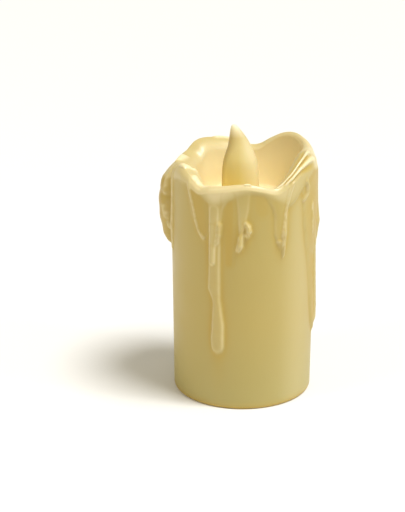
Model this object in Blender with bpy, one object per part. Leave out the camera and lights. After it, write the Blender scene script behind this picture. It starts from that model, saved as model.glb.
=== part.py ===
"""Flameless LED candle: a wax-look shell with moulded drips over a battery base.

Frame: +Z up, front towards -Y, origin at the centre of the base plate's outer face.
Sizes are in metres; azimuths are in degrees, measured from +X towards +Y.
"""
import math

import bmesh
import bpy
from mathutils import Matrix, Vector

MM = 0.001
GAP = 0.3 * MM               # clearance between neighbouring pieces
OVERLAP = 0.5 * MM           # how far shapes run into each other where they are joined

# Candle shell
BODY_RADIUS = 24.85 * MM     # outer radius at the bottom edge
BODY_HEIGHT = 82.0 * MM      # mean height of the front lip
BODY_DRAFT = math.radians(0.5)
SHELL_WALL = 2.2 * MM
BOTTOM_EDGE = 0.5 * MM       # rounding of the bottom edge
WELL_DEPTH = 13.0 * MM       # front lip down to the deck
DECK_THICKNESS = 2.0 * MM
RIM_WIDTH = 5.0 * MM
RIM_FALL = 2.6 * MM          # how far the rim slopes down towards the well
LIP_ROUND = 3.2 * MM         # height of the rounding from the outer wall up to the rim
WELL_WALL_SLOPE = 1.6 * MM
DECK_FILLET = 3.0 * MM
SHELL_COLUMNS = 72
DRIP_ROWS = 24
PLAIN_HEIGHT = 15.0 * MM     # lower part of the wall, which no drip reaches

# Crest of the rim: azimuth, rise above the mean height of the front lip (mm)
RIM_CREST = (
    (-165, 2.6), (-151, 3.1), (-140, 1.9), (-132, -0.2), (-126, -1.4), (-118, -0.6),
    (-103, 0.3), (-88, 1.2), (-75, 0.2), (-63, -0.8), (-52, 2.0), (-39, 5.9), (-24, 8.3),
    (-5, 7.7), (14, 6.6), (30, 7.8), (43, 8.5), (55, 7.5), (67, 4.9), (77, 2.3), (86, 2.0),
    (96, 3.8), (110, 5.0), (128, 5.9), (138, 5.2), (147, 3.1), (158, 2.5), (176, 1.8),
)

# Drips: each a run of azimuth, drop below the front lip, half width and bulge (mm)
DRIPS = (
    ((-109, 1, 5.2, 0.6), (-111, 6, 2.9, 0.8), (-112.5, 14, 2.2, 0.9), (-112.7, 36, 2.2, 0.9),
     (-110.7, 41, 1.5, 1.0), (-109.8, 50, 2.3, 1.1), (-109.8, 58.5, 2.3, 1.2)),
    ((-111, 12, 2.3, 1.2), (-113.8, 22, 1.3, 1.5), (-114, 27.5, 1.1, 1.6)),
    ((-91.5, 2, 3.2, 0.5), (-91, 7, 2.1, 0.7), (-92.3, 14, 1.2, 0.8), (-92.8, 21.5, 1.2, 1.2)),
    ((-87.5, 5, 1.4, 0.6), (-85.8, 12, 0.9, 0.8), (-85.5, 16, 0.9, 1.1)),
    ((-62, 2, 5.2, 0.6), (-61.5, 7, 3.2, 0.8), (-61.8, 14, 2.6, 0.9), (-60.5, 19, 2.5, 1.0),
     (-58, 23, 1.1, 1.0), (-58, 26.5, 0.7, 0.9)),
    ((-139, 1, 0.9, 0.7), (-133, 7, 0.7, 0.5), (-129, 14, 0.7, 0.5), (-123, 18.5, 0.8, 0.6)),
    ((-179, 0, 4.0, 0.8), (-179, 5, 4.6, 3.0), (-180, 12, 5.6, 4.4), (-181, 18, 5.4, 4.1),
     (-181, 24, 4.2, 3.0), (-181, 27.5, 2.4, 1.6)),
    ((-20, -2, 6.4, 0.8), (-17, 8, 7.6, 1.0), (-15, 18, 7.2, 1.3), (-13, 24, 6.0, 0.9),
     (-12, 38, 5.6, 0.9), (-11, 52, 4.2, 1.1), (-11, 57, 2.6, 0.8)),
    ((24, -3, 4.4, 0.7), (26, 8, 2.4, 0.9), (27, 26, 2.0, 1.0), (27, 34, 2.3, 1.2)),
    ((52, -3, 3.6, 0.6), (54, 8, 2.0, 0.8), (53, 15, 1.8, 1.1)),
    ((92, 0, 5.4, 0.6), (90, 8, 2.9, 0.9), (89, 24, 2.1, 1.0), (90, 44, 2.5, 1.2)),
    ((116, -2, 4.0, 0.6), (118, 9, 2.1, 0.8), (118, 20, 2.0, 1.1)),
    ((150, -1, 4.4, 0.6), (148, 9, 2.4, 0.9), (147, 30, 2.2, 1.1)),
)

# Flame lens: share of its height above the deck, centre X, half width (mm)
FLAME_HEIGHT = 28.6 * MM
FLAME_HALF_WIDTH = 6.6 * MM
FLAME_DEPTH_SHARE = 0.86     # front-to-back size over the width
FLAME_WALL = 1.3 * MM
FLAME_X = -1.1 * MM          # centre of the flame's foot
FLAME_SECTIONS = (
    (0.22, -1.1, 1.0), (0.36, -1.1, 0.985), (0.46, -1.0, 0.965), (0.555, -0.9, 0.91),
    (0.62, -0.85, 0.80), (0.69, -0.8, 0.69), (0.76, -1.2, 0.57), (0.82, -1.6, 0.475),
    (0.88, -2.15, 0.37), (0.94, -2.8, 0.25), (0.98, -3.25, 0.145),
)
FLAME_TIP_X = -3.3 * MM
FLAME_HOLLOW_TOP = 0.66      # share of the flame's height that the hollow reaches
FLAME_SIDES = 24
FLANGE_LIP = 1.9 * MM        # how far the flange reaches past the hole in the deck
FLANGE_THICKNESS = 1.4 * MM

# LED and its spacer
LED_RADIUS = 2.5 * MM
LED_LENGTH = 8.6 * MM
LED_RIM_RADIUS = 2.9 * MM
LED_RIM_HEIGHT = 1.0 * MM
LED_ABOVE_DECK = 0.3 * MM
LEAD_SPACING = 2.54 * MM
LEAD_SIZE = 0.5 * MM
LEAD_HOLE_RADIUS = 0.65 * MM
SPACER_RADIUS = 6.6 * MM
SPACER_NECK_RADIUS = 3.2 * MM

# Circuit board, hung under the deck
BOARD_WIDTH = 20.0 * MM
BOARD_THICKNESS = 1.6 * MM
BOARD_DROP = 8.0 * MM        # deck underside to the ends of the bosses
BOARD_BOSS_RADIUS = 2.6 * MM
BOARD_MARGIN = 1.2 * MM      # board beyond the bosses at its ends

# Screws
SCREW_RADIUS = 1.1 * MM
SCREW_HEAD_RADIUS = 2.0 * MM
SCREW_HEAD_HEIGHT = 1.2 * MM
BASE_SCREW_LENGTH = 9.0 * MM
BOARD_SCREW_LENGTH = 6.5 * MM
SCREW_SIDES = 16
BASE_SCREW_AZIMUTHS = (-90, 22, 158)
BASE_BOSS_RADIUS = 3.7 * MM
BASE_BOSS_INSET = 3.3 * MM   # boss centre inside the wall
BASE_BOSS_TOP = 15.0 * MM

# Base plate, battery compartment and door
PLATE_THICKNESS = 2.0 * MM
CELL_RADIUS = 5.25 * MM
CELL_LENGTH = 44.5 * MM
CELL_NUB_RADIUS = 1.9 * MM
CELL_NUB_HEIGHT = 1.0 * MM
CELL_SHARE_GAP = 0.5 * MM    # between the two cells
CELLS_Y = 9.5 * MM
CELL_SIDES = 24
WELL_BOX_WALL = 1.6 * MM
LEDGE = 0.95 * MM            # stop for the door all round its opening
DOOR_RECESS = 0.3 * MM
DOOR_THICKNESS = 1.4 * MM
HOOK_X = 7.0 * MM
HOOK_WIDTH = 3.4 * MM
HOOK_REACH = 1.5 * MM
HOOK_THICKNESS = 0.9 * MM
SLOT_SINK = 0.2 * MM         # how far the slots over the door run down into the plate
LATCH_WIDTH = 3.6 * MM
LATCH_THICKNESS = 0.8 * MM
LATCH_HEIGHT = 3.0 * MM
LATCH_SWING = 0.9 * MM       # relief in the compartment's front wall for the opening latch
THUMB_NOTCH_RADIUS = 3.0 * MM
THUMB_NOTCH_DEPTH = 1.1 * MM
STAKE_RADIUS = 0.7 * MM
STAKE_HEIGHT = 1.3 * MM

# Battery contacts
SHEET = 0.4 * MM
CONTACT_WIDTH = 7.6 * MM
STRIP_WIDTH = 4.4 * MM
PIP_RADIUS = 1.2 * MM
PIP_HEIGHT = 0.4 * MM
SPRING_HEIGHT = 2.6 * MM
SPRING_FOOT_RADIUS = 2.8 * MM
SPRING_TIP_RADIUS = 1.5 * MM
SPRING_TURNS = 2.5
SPRING_WIRE = 0.3 * MM
TAG_WIDTH = 2.4 * MM
TAG_RISE = 2.8 * MM          # tag above the compartment's roof
ROOF_THICKNESS = 1.2 * MM

# Slide switch
SWITCH_Y = -11.6 * MM
SWITCH_TRAVEL = 2.0 * MM
SWITCH_LENGTH = 8.6 * MM
SWITCH_WIDTH = 3.8 * MM
SWITCH_HEIGHT = 3.4 * MM
SWITCH_SHEET = 0.4 * MM
POCKET_LENGTH = 10.0 * MM
POCKET_WIDTH = 5.2 * MM
POCKET_DEPTH = 1.3 * MM
STEM_WIDTH = 1.9 * MM
STEM_DEPTH = 1.2 * MM
PAD_WIDTH = 3.4 * MM
PAD_DEPTH = 3.4 * MM
PAD_THICKNESS = 0.7 * MM
SLIDER_WIDTH = 3.6 * MM
SLIDER_DEPTH = 2.2 * MM
SLIDER_HEIGHT = 1.0 * MM
TERMINAL_THICKNESS = 0.8 * MM
PIN_SPACING = 2.5 * MM
PIN_WIDTH = 0.9 * MM
PIN_RISE = 3.2 * MM
CRADLE_WALL = 1.2 * MM

WIRE_RADIUS = 0.6 * MM

# Heights and radii that follow from the sizes above
CAVITY_RADIUS = BODY_RADIUS - SHELL_WALL
PLATE_RADIUS = CAVITY_RADIUS - GAP
DECK_TOP = BODY_HEIGHT - WELL_DEPTH
DECK_UNDER = DECK_TOP - DECK_THICKNESS
FLANGE_TOP = DECK_UNDER - GAP
FLANGE_RADIUS = FLAME_HALF_WIDTH + GAP + FLANGE_LIP
FLANGE_UNDER = FLANGE_TOP - FLANGE_THICKNESS
BOARD_SCREW_X = abs(FLAME_X) + FLANGE_RADIUS + BOARD_BOSS_RADIUS + 2 * GAP
BOARD_LENGTH = 2 * (BOARD_SCREW_X + BOARD_BOSS_RADIUS + BOARD_MARGIN)
BOSS_END = DECK_UNDER - BOARD_DROP
BOARD_TOP = BOSS_END - GAP
BOARD_UNDER = BOARD_TOP - BOARD_THICKNESS
SPACER_SHOULDER = FLANGE_UNDER - GAP
LED_FOOT = DECK_TOP + LED_ABOVE_DECK
BASE_BOSS_CENTRE = CAVITY_RADIUS - BASE_BOSS_INSET
DOOR_TOP = DOOR_RECESS + DOOR_THICKNESS
STRIP_TOP = DOOR_TOP + GAP + SHEET
CELL_X = CELL_RADIUS + CELL_SHARE_GAP / 2
CELL_UP_FOOT = STRIP_TOP + SPRING_HEIGHT + GAP
CONTACT_UNDER = CELL_UP_FOOT + CELL_LENGTH + GAP + PIP_HEIGHT
CELL_DOWN_TOP = CONTACT_UNDER - SPRING_HEIGHT - GAP
ROOF_UNDER = CONTACT_UNDER + SHEET + GAP
ROOF_TOP = ROOF_UNDER + ROOF_THICKNESS
INNER_X = CELL_X + CELL_RADIUS + GAP
INNER_Y = CELL_RADIUS + GAP
OPENING_FRONT = CELLS_Y - INNER_Y - LEDGE
OPENING_BACK = CELLS_Y + INNER_Y + LEDGE
HINGE_Y = OPENING_BACK - GAP
HINGE_Z = DOOR_RECESS
POCKET_TOP = POCKET_DEPTH
SWITCH_UNDER = PLATE_THICKNESS + GAP
SWITCH_TOP = SWITCH_UNDER + SWITCH_HEIGHT


def clear_scene():
    """Remove whatever the scene holds."""
    for item in list(bpy.data.objects):
        bpy.data.objects.remove(item, do_unlink=True)


def material(name, colour, roughness, metallic=0.0):
    """A plain Principled material."""
    made = bpy.data.materials.new(name)
    made.use_nodes = True
    shader = made.node_tree.nodes["Principled BSDF"]
    shader.inputs["Base Color"].default_value = (*colour, 1.0)
    shader.inputs["Roughness"].default_value = roughness
    shader.inputs["Metallic"].default_value = metallic
    made.diffuse_color = (*colour, 1.0)
    return made


def finish(name, mesh_data, surface, smooth=True):
    """Put a bmesh in the scene as an object, with its faces pointing out."""
    bmesh.ops.recalc_face_normals(mesh_data, faces=mesh_data.faces)
    mesh = bpy.data.meshes.new(name)
    mesh_data.to_mesh(mesh)
    mesh_data.free()
    if smooth:
        mesh.shade_smooth()
        mesh.set_sharp_from_angle(angle=math.radians(35))
    made = bpy.data.objects.new(name, mesh)
    bpy.context.scene.collection.objects.link(made)
    if surface:
        mesh.materials.append(surface)
    return made


def loft(rings, closed=False):
    """Skin rings of equal count; the ends are capped unless the last ring meets the first."""
    made = bmesh.new()
    rows = [[made.verts.new(point) for point in ring] for ring in rings]
    pairs = list(zip(rows, rows[1:]))
    if closed:
        pairs.append((rows[-1], rows[0]))
    for low, high in pairs:
        count = len(low)
        for i in range(count):
            j = (i + 1) % count
            made.faces.new((low[i], low[j], high[j], high[i]))
    if not closed:
        made.faces.new(list(reversed(rows[0])))
        made.faces.new(rows[-1])
    return made


def ring(centre, radius_x, radius_y, height, sides):
    """Points of a level ellipse."""
    turn = 2 * math.pi / sides
    return [
        Vector((centre[0] + radius_x * math.cos(i * turn), centre[1] + radius_y * math.sin(i * turn), height))
        for i in range(sides)
    ]


def turned(centre, profile, sides):
    """A turned solid about a vertical axis, from (radius, height) pairs, bottom to top."""
    return loft([ring(centre, radius, radius, height, sides) for radius, height in profile])


def block(low, high):
    """A box between two corners."""
    made = bmesh.new()
    middle = (Vector(low) + Vector(high)) / 2
    size = Vector(high) - Vector(low)
    place = Matrix.Translation(middle) @ Matrix.Diagonal((*size, 1.0))
    bmesh.ops.create_cube(made, size=1.0, matrix=place)
    return made


def swept(points, radius, sides):
    """A round wire along points, with flat ends."""
    path = [Vector(point) for point in points]
    rings = []
    side = None
    for i, point in enumerate(path):
        ahead = (path[min(i + 1, len(path) - 1)] - path[max(i - 1, 0)]).normalized()
        if side is None:
            side = ahead.orthogonal().normalized()
        side = (side - ahead * side.dot(ahead)).normalized()
        across = ahead.cross(side)
        turn = 2 * math.pi / sides
        rings.append([
            point + radius * (math.cos(k * turn) * side + math.sin(k * turn) * across)
            for k in range(sides)
        ])
    return loft(rings)


def smooth_path(points, steps):
    """A smooth curve through points (Catmull-Rom), as a list of points."""
    way = [Vector(point) for point in points]
    way = [2 * way[0] - way[1], *way, 2 * way[-1] - way[-2]]
    curve = []
    for a, b, c, d in zip(way, way[1:], way[2:], way[3:]):
        for k in range(steps):
            t = k / steps
            curve.append(
                0.5 * (2 * b + (c - a) * t + (2 * a - 5 * b + 4 * c - d) * t**2
                       + (3 * b - a - 3 * c + d) * t**3)
            )
    curve.append(way[-2])
    return curve


def boolean(target, tool, operation):
    """Join a tool to a target or cut it out, as a live modifier; the tool stays hidden."""
    step = target.modifiers.new(operation.lower(), "BOOLEAN")
    step.operation = operation
    step.solver = "EXACT"
    step.object = tool
    tool.hide_render = True
    tool.display_type = "WIRE"


def cut(target, shape):
    """Cut a bmesh shape out of an object."""
    boolean(target, finish(target.name + "_cutter", shape, None, smooth=False), "DIFFERENCE")


def join(target, shape):
    """Join a bmesh shape to an object."""
    boolean(target, finish(target.name + "_addition", shape, None, smooth=False), "UNION")


# Candle shell

def rim_rise(azimuth):
    """Height of the rim's crest above the mean front lip, smooth and periodic."""
    points = RIM_CREST
    count = len(points)
    azimuth = (azimuth - points[0][0]) % 360 + points[0][0]
    for i in range(count):
        a0 = points[i][0]
        a1 = points[(i + 1) % count][0] + (360 if i == count - 1 else 0)
        if a0 <= azimuth <= a1:
            before, here = points[i - 1][1], points[i][1]
            there, after = points[(i + 1) % count][1], points[(i + 2) % count][1]
            t = (azimuth - a0) / (a1 - a0)
            rise = 0.5 * (2 * here + (there - before) * t
                          + (2 * before - 5 * here + 4 * there - after) * t**2
                          + (3 * here - before - 3 * there + after) * t**3)
            return rise * MM
    return 0.0


def drip_bulge(azimuth, height):
    """How far the drips stand out of the wall at a place."""
    most = 0.0
    drop = BODY_HEIGHT - height
    for drip in DRIPS:
        for start, end in zip(drip, drip[1:]):
            along = math.radians((azimuth - start[0] + 180) % 360 - 180) * BODY_RADIUS
            run = math.radians(end[0] - start[0]) * BODY_RADIUS
            fall = (end[1] - start[1]) * MM
            below = drop - start[1] * MM
            t = (along * run + below * fall) / (run**2 + fall**2)
            t = min(max(t, 0.0), 1.0)
            off = math.hypot(along - t * run, below - t * fall)
            half = (start[2] + (end[2] - start[2]) * t) * MM
            bulge = (start[3] + (end[3] - start[3]) * t) * MM
            if off < half:
                most = max(most, bulge * math.sqrt(1 - (off / half)**2))
    return most


def shell_profile(azimuth):
    """Section of the shell at an azimuth as (radius, height), from the outer bottom edge
    up over the rim, down the well to the deck, and back down the cavity."""
    rim = BODY_HEIGHT + rim_rise(azimuth)
    shoulder = rim - LIP_ROUND
    slope = math.tan(BODY_DRAFT)
    heights = [BOTTOM_EDGE, PLAIN_HEIGHT]
    heights += [PLAIN_HEIGHT + (shoulder - PLAIN_HEIGHT) * k / DRIP_ROWS for k in range(1, DRIP_ROWS + 1)]
    section = [(BODY_RADIUS - BOTTOM_EDGE, 0.0)]
    section += [(BODY_RADIUS + z * slope + drip_bulge(azimuth, z), z) for z in heights]
    outer = BODY_RADIUS + rim * slope
    inner = outer - RIM_WIDTH
    wall = inner - WELL_WALL_SLOPE
    section += [
        (outer - 0.25 * LIP_ROUND, rim - 0.3 * LIP_ROUND),
        (outer - 0.6 * LIP_ROUND, rim),
        (inner, rim - RIM_FALL),
        (wall, DECK_TOP + DECK_FILLET),
        (wall - 0.3 * DECK_FILLET, DECK_TOP + 0.3 * DECK_FILLET),
        (wall - DECK_FILLET, DECK_TOP),
    ]
    return section


def shell_rings():
    """The shell's rings: the section at every azimuth, then the flame hole and the cavity."""
    azimuths = [360.0 * i / SHELL_COLUMNS for i in range(SHELL_COLUMNS)]
    sections = [shell_profile(azimuth) for azimuth in azimuths]
    rings = []
    for row in range(len(sections[0])):
        rings.append([
            Vector((section[row][0] * math.cos(math.radians(a)), section[row][0] * math.sin(math.radians(a)),
                    section[row][1]))
            for a, section in zip(azimuths, sections)
        ])
    hole_x = FLAME_HALF_WIDTH + GAP
    hole_y = FLAME_HALF_WIDTH * FLAME_DEPTH_SHARE + GAP
    for height in (DECK_TOP, DECK_UNDER):
        rings.append(ring((FLAME_X, 0), hole_x, hole_y, height, SHELL_COLUMNS))
    for height in (DECK_UNDER, 0.0):
        rings.append(ring((0, 0), CAVITY_RADIUS, CAVITY_RADIUS, height, SHELL_COLUMNS))
    return rings


def on_circle(radius, azimuth):
    """A point on a circle about the candle's axis."""
    return (radius * math.cos(math.radians(azimuth)), radius * math.sin(math.radians(azimuth)))


def add_boss(shell, centre, radius, low, high, hole_low, hole_high):
    """A screw boss with its blind hole."""
    join(shell, turned(centre, [(radius, low), (radius, high)], SCREW_SIDES))
    hole = SCREW_RADIUS + GAP
    cut(shell, turned(centre, [(hole, hole_low), (hole, hole_high)], SCREW_SIDES))


def make_shell():
    """The wax-look shell with its rim, well, drips and screw bosses."""
    surface = material("wax_plastic", (0.86, 0.74, 0.43), 0.38)
    shell = finish("candle_shell", loft(shell_rings(), closed=True), surface)
    low = PLATE_THICKNESS + GAP
    for azimuth in BASE_SCREW_AZIMUTHS:
        centre = on_circle(BASE_BOSS_CENTRE, azimuth)
        add_boss(shell, centre, BASE_BOSS_RADIUS, low, BASE_BOSS_TOP, low - OVERLAP,
                 BASE_SCREW_LENGTH + 2 * OVERLAP)
    for side in (-1, 1):
        centre = (side * BOARD_SCREW_X, 0)
        add_boss(shell, centre, BOARD_BOSS_RADIUS, BOSS_END, DECK_UNDER + OVERLAP, BOSS_END - OVERLAP,
                 BOARD_UNDER + BOARD_SCREW_LENGTH + OVERLAP)


# Flame, LED and board

def flame_rings(inset, top_share):
    """Level rings of the flame, from the deck's underside up, drawn in by a wall."""
    rings = []
    levels = [(0.0, FLAME_X / MM, 1.0), *FLAME_SECTIONS]
    for share, centre, width in levels:
        if share > top_share:
            break
        half = FLAME_HALF_WIDTH * width - inset
        depth = FLAME_HALF_WIDTH * width * FLAME_DEPTH_SHARE - inset
        rings.append(ring((centre * MM, 0), half, depth, DECK_TOP + share * FLAME_HEIGHT, FLAME_SIDES))
    return rings


def make_flame():
    """The hollow flame lens with the flange that seats under the deck."""
    surface = material("flame_lens", (0.93, 0.76, 0.36), 0.25)
    foot_x = FLAME_HALF_WIDTH
    foot_y = FLAME_HALF_WIDTH * FLAME_DEPTH_SHARE
    foot = (FLAME_X, 0)
    outer = [
        ring(foot, FLANGE_RADIUS, FLANGE_RADIUS, FLANGE_UNDER, FLAME_SIDES),
        ring(foot, FLANGE_RADIUS, FLANGE_RADIUS, FLANGE_TOP, FLAME_SIDES),
        ring(foot, foot_x, foot_y, FLANGE_TOP, FLAME_SIDES),
        *flame_rings(0.0, 1.0),
    ]
    tip = Vector((FLAME_TIP_X, 0, DECK_TOP + FLAME_HEIGHT))
    hollow = [
        ring(foot, foot_x - FLAME_WALL, foot_y - FLAME_WALL, FLANGE_UNDER, FLAME_SIDES),
        *flame_rings(FLAME_WALL, FLAME_HOLLOW_TOP),
    ]
    made = bmesh.new()
    rows = [[made.verts.new(point) for point in level] for level in [*reversed(hollow), *outer]]
    for low, high in zip(rows, rows[1:]):
        for i in range(FLAME_SIDES):
            j = (i + 1) % FLAME_SIDES
            made.faces.new((low[i], low[j], high[j], high[i]))
    made.faces.new(list(reversed(rows[0])))
    point = made.verts.new(tip)
    for i in range(FLAME_SIDES):
        made.faces.new((rows[-1][i], rows[-1][(i + 1) % FLAME_SIDES], point))
    finish("flame_lens", made, surface)


def make_led():
    """The LED lamp, its two leads and the spacer under it."""
    centre = (FLAME_X, 0)
    dome_foot = LED_FOOT + LED_LENGTH - LED_RADIUS
    dome = [
        (LED_RADIUS * math.cos(math.radians(a)), dome_foot + LED_RADIUS * math.sin(math.radians(a)))
        for a in (0, 25, 50, 75)
    ]
    profile = [(LED_RIM_RADIUS, LED_FOOT), (LED_RIM_RADIUS, LED_FOOT + LED_RIM_HEIGHT),
               (LED_RADIUS, LED_FOOT + LED_RIM_HEIGHT), *dome]
    finish("led_lamp", turned(centre, profile, 20), material("led_epoxy", (0.95, 0.85, 0.55), 0.15))
    spacer_foot = BOARD_TOP + GAP
    spacer_top = LED_FOOT - GAP
    shape = [(SPACER_RADIUS, spacer_foot), (SPACER_RADIUS, SPACER_SHOULDER),
             (SPACER_NECK_RADIUS, SPACER_SHOULDER), (SPACER_NECK_RADIUS, spacer_top)]
    white = material("spacer_plastic", (0.9, 0.9, 0.87), 0.5)
    spacer = finish("led_spacer", turned(centre, shape, 24), white)
    metal = material("tinned_lead", (0.72, 0.72, 0.72), 0.3, 1.0)
    for name, side in (("led_lead_cathode", -1), ("led_lead_anode", 1)):
        x = FLAME_X + side * LEAD_SPACING / 2
        half = LEAD_SIZE / 2
        cut(spacer, turned((x, 0), [(LEAD_HOLE_RADIUS, spacer_foot - OVERLAP),
                                    (LEAD_HOLE_RADIUS, spacer_top + OVERLAP)], 10))
        low = (x - half, -half, BOARD_UNDER - 1.2 * MM)
        finish(name, block(low, (x + half, half, LED_FOOT - GAP)), metal, smooth=False)


def make_board():
    """The circuit board with its screws and components."""
    half_x, half_y = BOARD_LENGTH / 2, BOARD_WIDTH / 2
    surface = material("board_laminate", (0.10, 0.33, 0.17), 0.45)
    board = finish("circuit_board", block((-half_x, -half_y, BOARD_UNDER), (half_x, half_y, BOARD_TOP)),
                   surface, smooth=False)
    low, high = BOARD_UNDER - OVERLAP, BOARD_TOP + OVERLAP
    steel = material("screw_steel", (0.6, 0.6, 0.62), 0.3, 1.0)
    for side in (-1, 1):
        centre = (side * BOARD_SCREW_X, 0)
        hole = SCREW_RADIUS + GAP
        cut(board, turned(centre, [(hole, low), (hole, high)], SCREW_SIDES))
        lead = (FLAME_X + side * LEAD_SPACING / 2, 0)
        cut(board, turned(lead, [(LEAD_HOLE_RADIUS, low), (LEAD_HOLE_RADIUS, high)], 10))
    for number, side in ((1, -1), (2, 1)):
        head_top = BOARD_UNDER - GAP
        make_screw(f"board_screw_{number}", (side * BOARD_SCREW_X, 0), head_top - SCREW_HEAD_HEIGHT,
                   head_top, BOARD_UNDER + BOARD_SCREW_LENGTH, steel)
    make_components()


def make_screw(name, centre, head_low, head_high, tip, surface):
    """A pan-head screw that points up, with a cross recess in its head."""
    core = 0.75 * SCREW_RADIUS
    profile = [(0.8 * SCREW_HEAD_RADIUS, head_low), (SCREW_HEAD_RADIUS, head_low + 0.35 * SCREW_HEAD_HEIGHT),
               (SCREW_HEAD_RADIUS, head_high), (SCREW_RADIUS, head_high),
               (SCREW_RADIUS, tip - SCREW_RADIUS), (0.3 * core, tip)]
    screw = finish(name, turned(centre, profile, SCREW_SIDES), surface)
    long, thin = 0.6 * SCREW_HEAD_RADIUS, 0.16 * SCREW_HEAD_RADIUS
    depth = head_low + 0.5 * SCREW_HEAD_HEIGHT
    for x, y in ((long, thin), (thin, long)):
        cut(screw, block((centre[0] - x, centre[1] - y, head_low - OVERLAP),
                         (centre[0] + x, centre[1] + y, depth)))


def make_components():
    """Timer chip under the board; capacitor and resistor on top of it."""
    chip_low, chip_high = BOARD_UNDER - GAP - 1.6 * MM, BOARD_UNDER - GAP - 0.2 * MM
    chip_x, chip_y = -6.0 * MM, -5.0 * MM
    chip = finish("timer_chip", block((chip_x - 2.5 * MM, chip_y - 2.0 * MM, chip_low),
                                      (chip_x + 2.5 * MM, chip_y + 2.0 * MM, chip_high)),
                  material("chip_resin", (0.03, 0.03, 0.03), 0.5), smooth=False)
    for k in range(4):
        leg = chip_x + (k - 1.5) * 1.27 * MM
        low = (leg - 0.2 * MM, chip_y - 3.0 * MM, BOARD_UNDER - GAP - 0.7 * MM)
        high = (leg + 0.2 * MM, chip_y + 3.0 * MM, BOARD_UNDER - GAP - 0.4 * MM)
        join(chip, block(low, high))
    can = [(2.3 * MM, BOARD_TOP + GAP), (2.5 * MM, BOARD_TOP + 0.8 * MM), (2.5 * MM, BOARD_TOP + 6.2 * MM),
           (2.2 * MM, BOARD_TOP + 6.5 * MM)]
    sleeve = material("capacitor_sleeve", (0.05, 0.06, 0.12), 0.35)
    finish("capacitor", turned((9.5 * MM, 6.0 * MM), can, 20), sleeve)
    axle = BOARD_TOP + 2.2 * MM
    body = [(0.5, -3.2), (1.15, -2.8), (1.15, -1.8), (0.95, -1.4),
            (0.95, 1.4), (1.15, 1.8), (1.15, 2.8), (0.5, 3.2)]
    middle_x, middle_y = -8.5 * MM, 6.5 * MM
    shape = turned((0, 0), [(radius * MM, along * MM) for radius, along in body], 16)
    lay = Matrix.Translation((middle_x, middle_y, axle)) @ Matrix.Rotation(math.radians(90), 4, "Y")
    bmesh.ops.transform(shape, matrix=lay, verts=shape.verts)
    resistor = finish("resistor", shape, material("resistor_coat", (0.75, 0.62, 0.42), 0.5))
    for side in (-1, 1):
        reach = middle_x + side * 5.0 * MM
        lead = [(middle_x + side * 2.6 * MM, middle_y, axle), (reach - side * 0.8 * MM, middle_y, axle),
                (reach - side * 0.2 * MM, middle_y, axle - 0.25 * MM), (reach, middle_y, axle - 0.8 * MM),
                (reach, middle_y, BOARD_TOP + GAP)]
        join(resistor, swept(lead, 0.3 * MM, 8))


# Base plate, battery compartment and door

def make_carrier():
    """The base plate with its upright battery compartment, switch cradle and screw holes."""
    surface = material("base_plastic", (0.80, 0.72, 0.50), 0.45)
    plate = [(PLATE_RADIUS - 0.4 * MM, 0.0), (PLATE_RADIUS, 0.4 * MM), (PLATE_RADIUS, PLATE_THICKNESS)]
    carrier = finish("base_carrier", turned((0, 0), plate, 64), surface)
    outer_x, outer_y = INNER_X + WELL_BOX_WALL, INNER_Y + WELL_BOX_WALL
    join(carrier, block((-outer_x, CELLS_Y - outer_y, PLATE_THICKNESS - OVERLAP),
                        (outer_x, CELLS_Y + outer_y, ROOF_TOP)))
    for side in (-1, 1):
        near = SWITCH_LENGTH / 2 + GAP
        x = sorted((side * near, side * (near + CRADLE_WALL)))
        join(carrier, block((x[0], SWITCH_Y - SWITCH_WIDTH / 2, PLATE_THICKNESS - OVERLAP),
                            (x[1], SWITCH_Y + SWITCH_WIDTH / 2, SWITCH_TOP - OVERLAP)))
    cut(carrier, block((-INNER_X, CELLS_Y - INNER_Y, -OVERLAP), (INNER_X, CELLS_Y + INNER_Y, ROOF_UNDER)))
    cut(carrier, block((-INNER_X - LEDGE, OPENING_FRONT, -OVERLAP),
                       (INNER_X + LEDGE, OPENING_BACK, PLATE_THICKNESS)))
    cut_door_details(carrier)
    cut_switch_details(carrier)
    cut_screw_holes(carrier)


def cut_door_details(carrier):
    """Slots for the door's hooks and the contacts' tags, and the thumb notch."""
    outer_y = CELLS_Y + INNER_Y + WELL_BOX_WALL
    for side in (-1, 1):
        half = HOOK_WIDTH / 2 + GAP
        low = (side * HOOK_X - half, CELLS_Y + INNER_Y - OVERLAP, PLATE_THICKNESS - SLOT_SINK)
        high = (side * HOOK_X + half, outer_y + OVERLAP, PLATE_THICKNESS + 3.0 * HOOK_THICKNESS)
        cut(carrier, block(low, high))
        tag = TAG_WIDTH / 2 + GAP
        thick = SHEET / 2 + GAP
        cut(carrier, block((side * CELL_X - tag, CELLS_Y - thick, ROOF_UNDER - OVERLAP),
                           (side * CELL_X + tag, CELLS_Y + thick, ROOF_TOP + OVERLAP)))
    half = LATCH_WIDTH / 2 + GAP
    wall = CELLS_Y - INNER_Y
    cut(carrier, block((-half, wall - LATCH_SWING, PLATE_THICKNESS - SLOT_SINK),
                       (half, wall + OVERLAP, DOOR_TOP + LATCH_HEIGHT + OVERLAP)))
    notch = turned((0, OPENING_FRONT + 1.2 * MM),
                   [(THUMB_NOTCH_RADIUS, -OVERLAP), (THUMB_NOTCH_RADIUS, THUMB_NOTCH_DEPTH)], 24)
    cut(carrier, notch)


def cut_switch_details(carrier):
    """Pocket for the switch's thumb pad and the slot for its stem."""
    half_x, half_y = POCKET_LENGTH / 2, POCKET_WIDTH / 2
    cut(carrier, block((-half_x, SWITCH_Y - half_y, -OVERLAP), (half_x, SWITCH_Y + half_y, POCKET_TOP)))
    slot_x = (SWITCH_TRAVEL + STEM_WIDTH) / 2 + GAP
    slot_y = STEM_DEPTH / 2 + GAP
    cut(carrier, block((-slot_x, SWITCH_Y - slot_y, POCKET_TOP - OVERLAP),
                       (slot_x, SWITCH_Y + slot_y, PLATE_THICKNESS + OVERLAP)))


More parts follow.
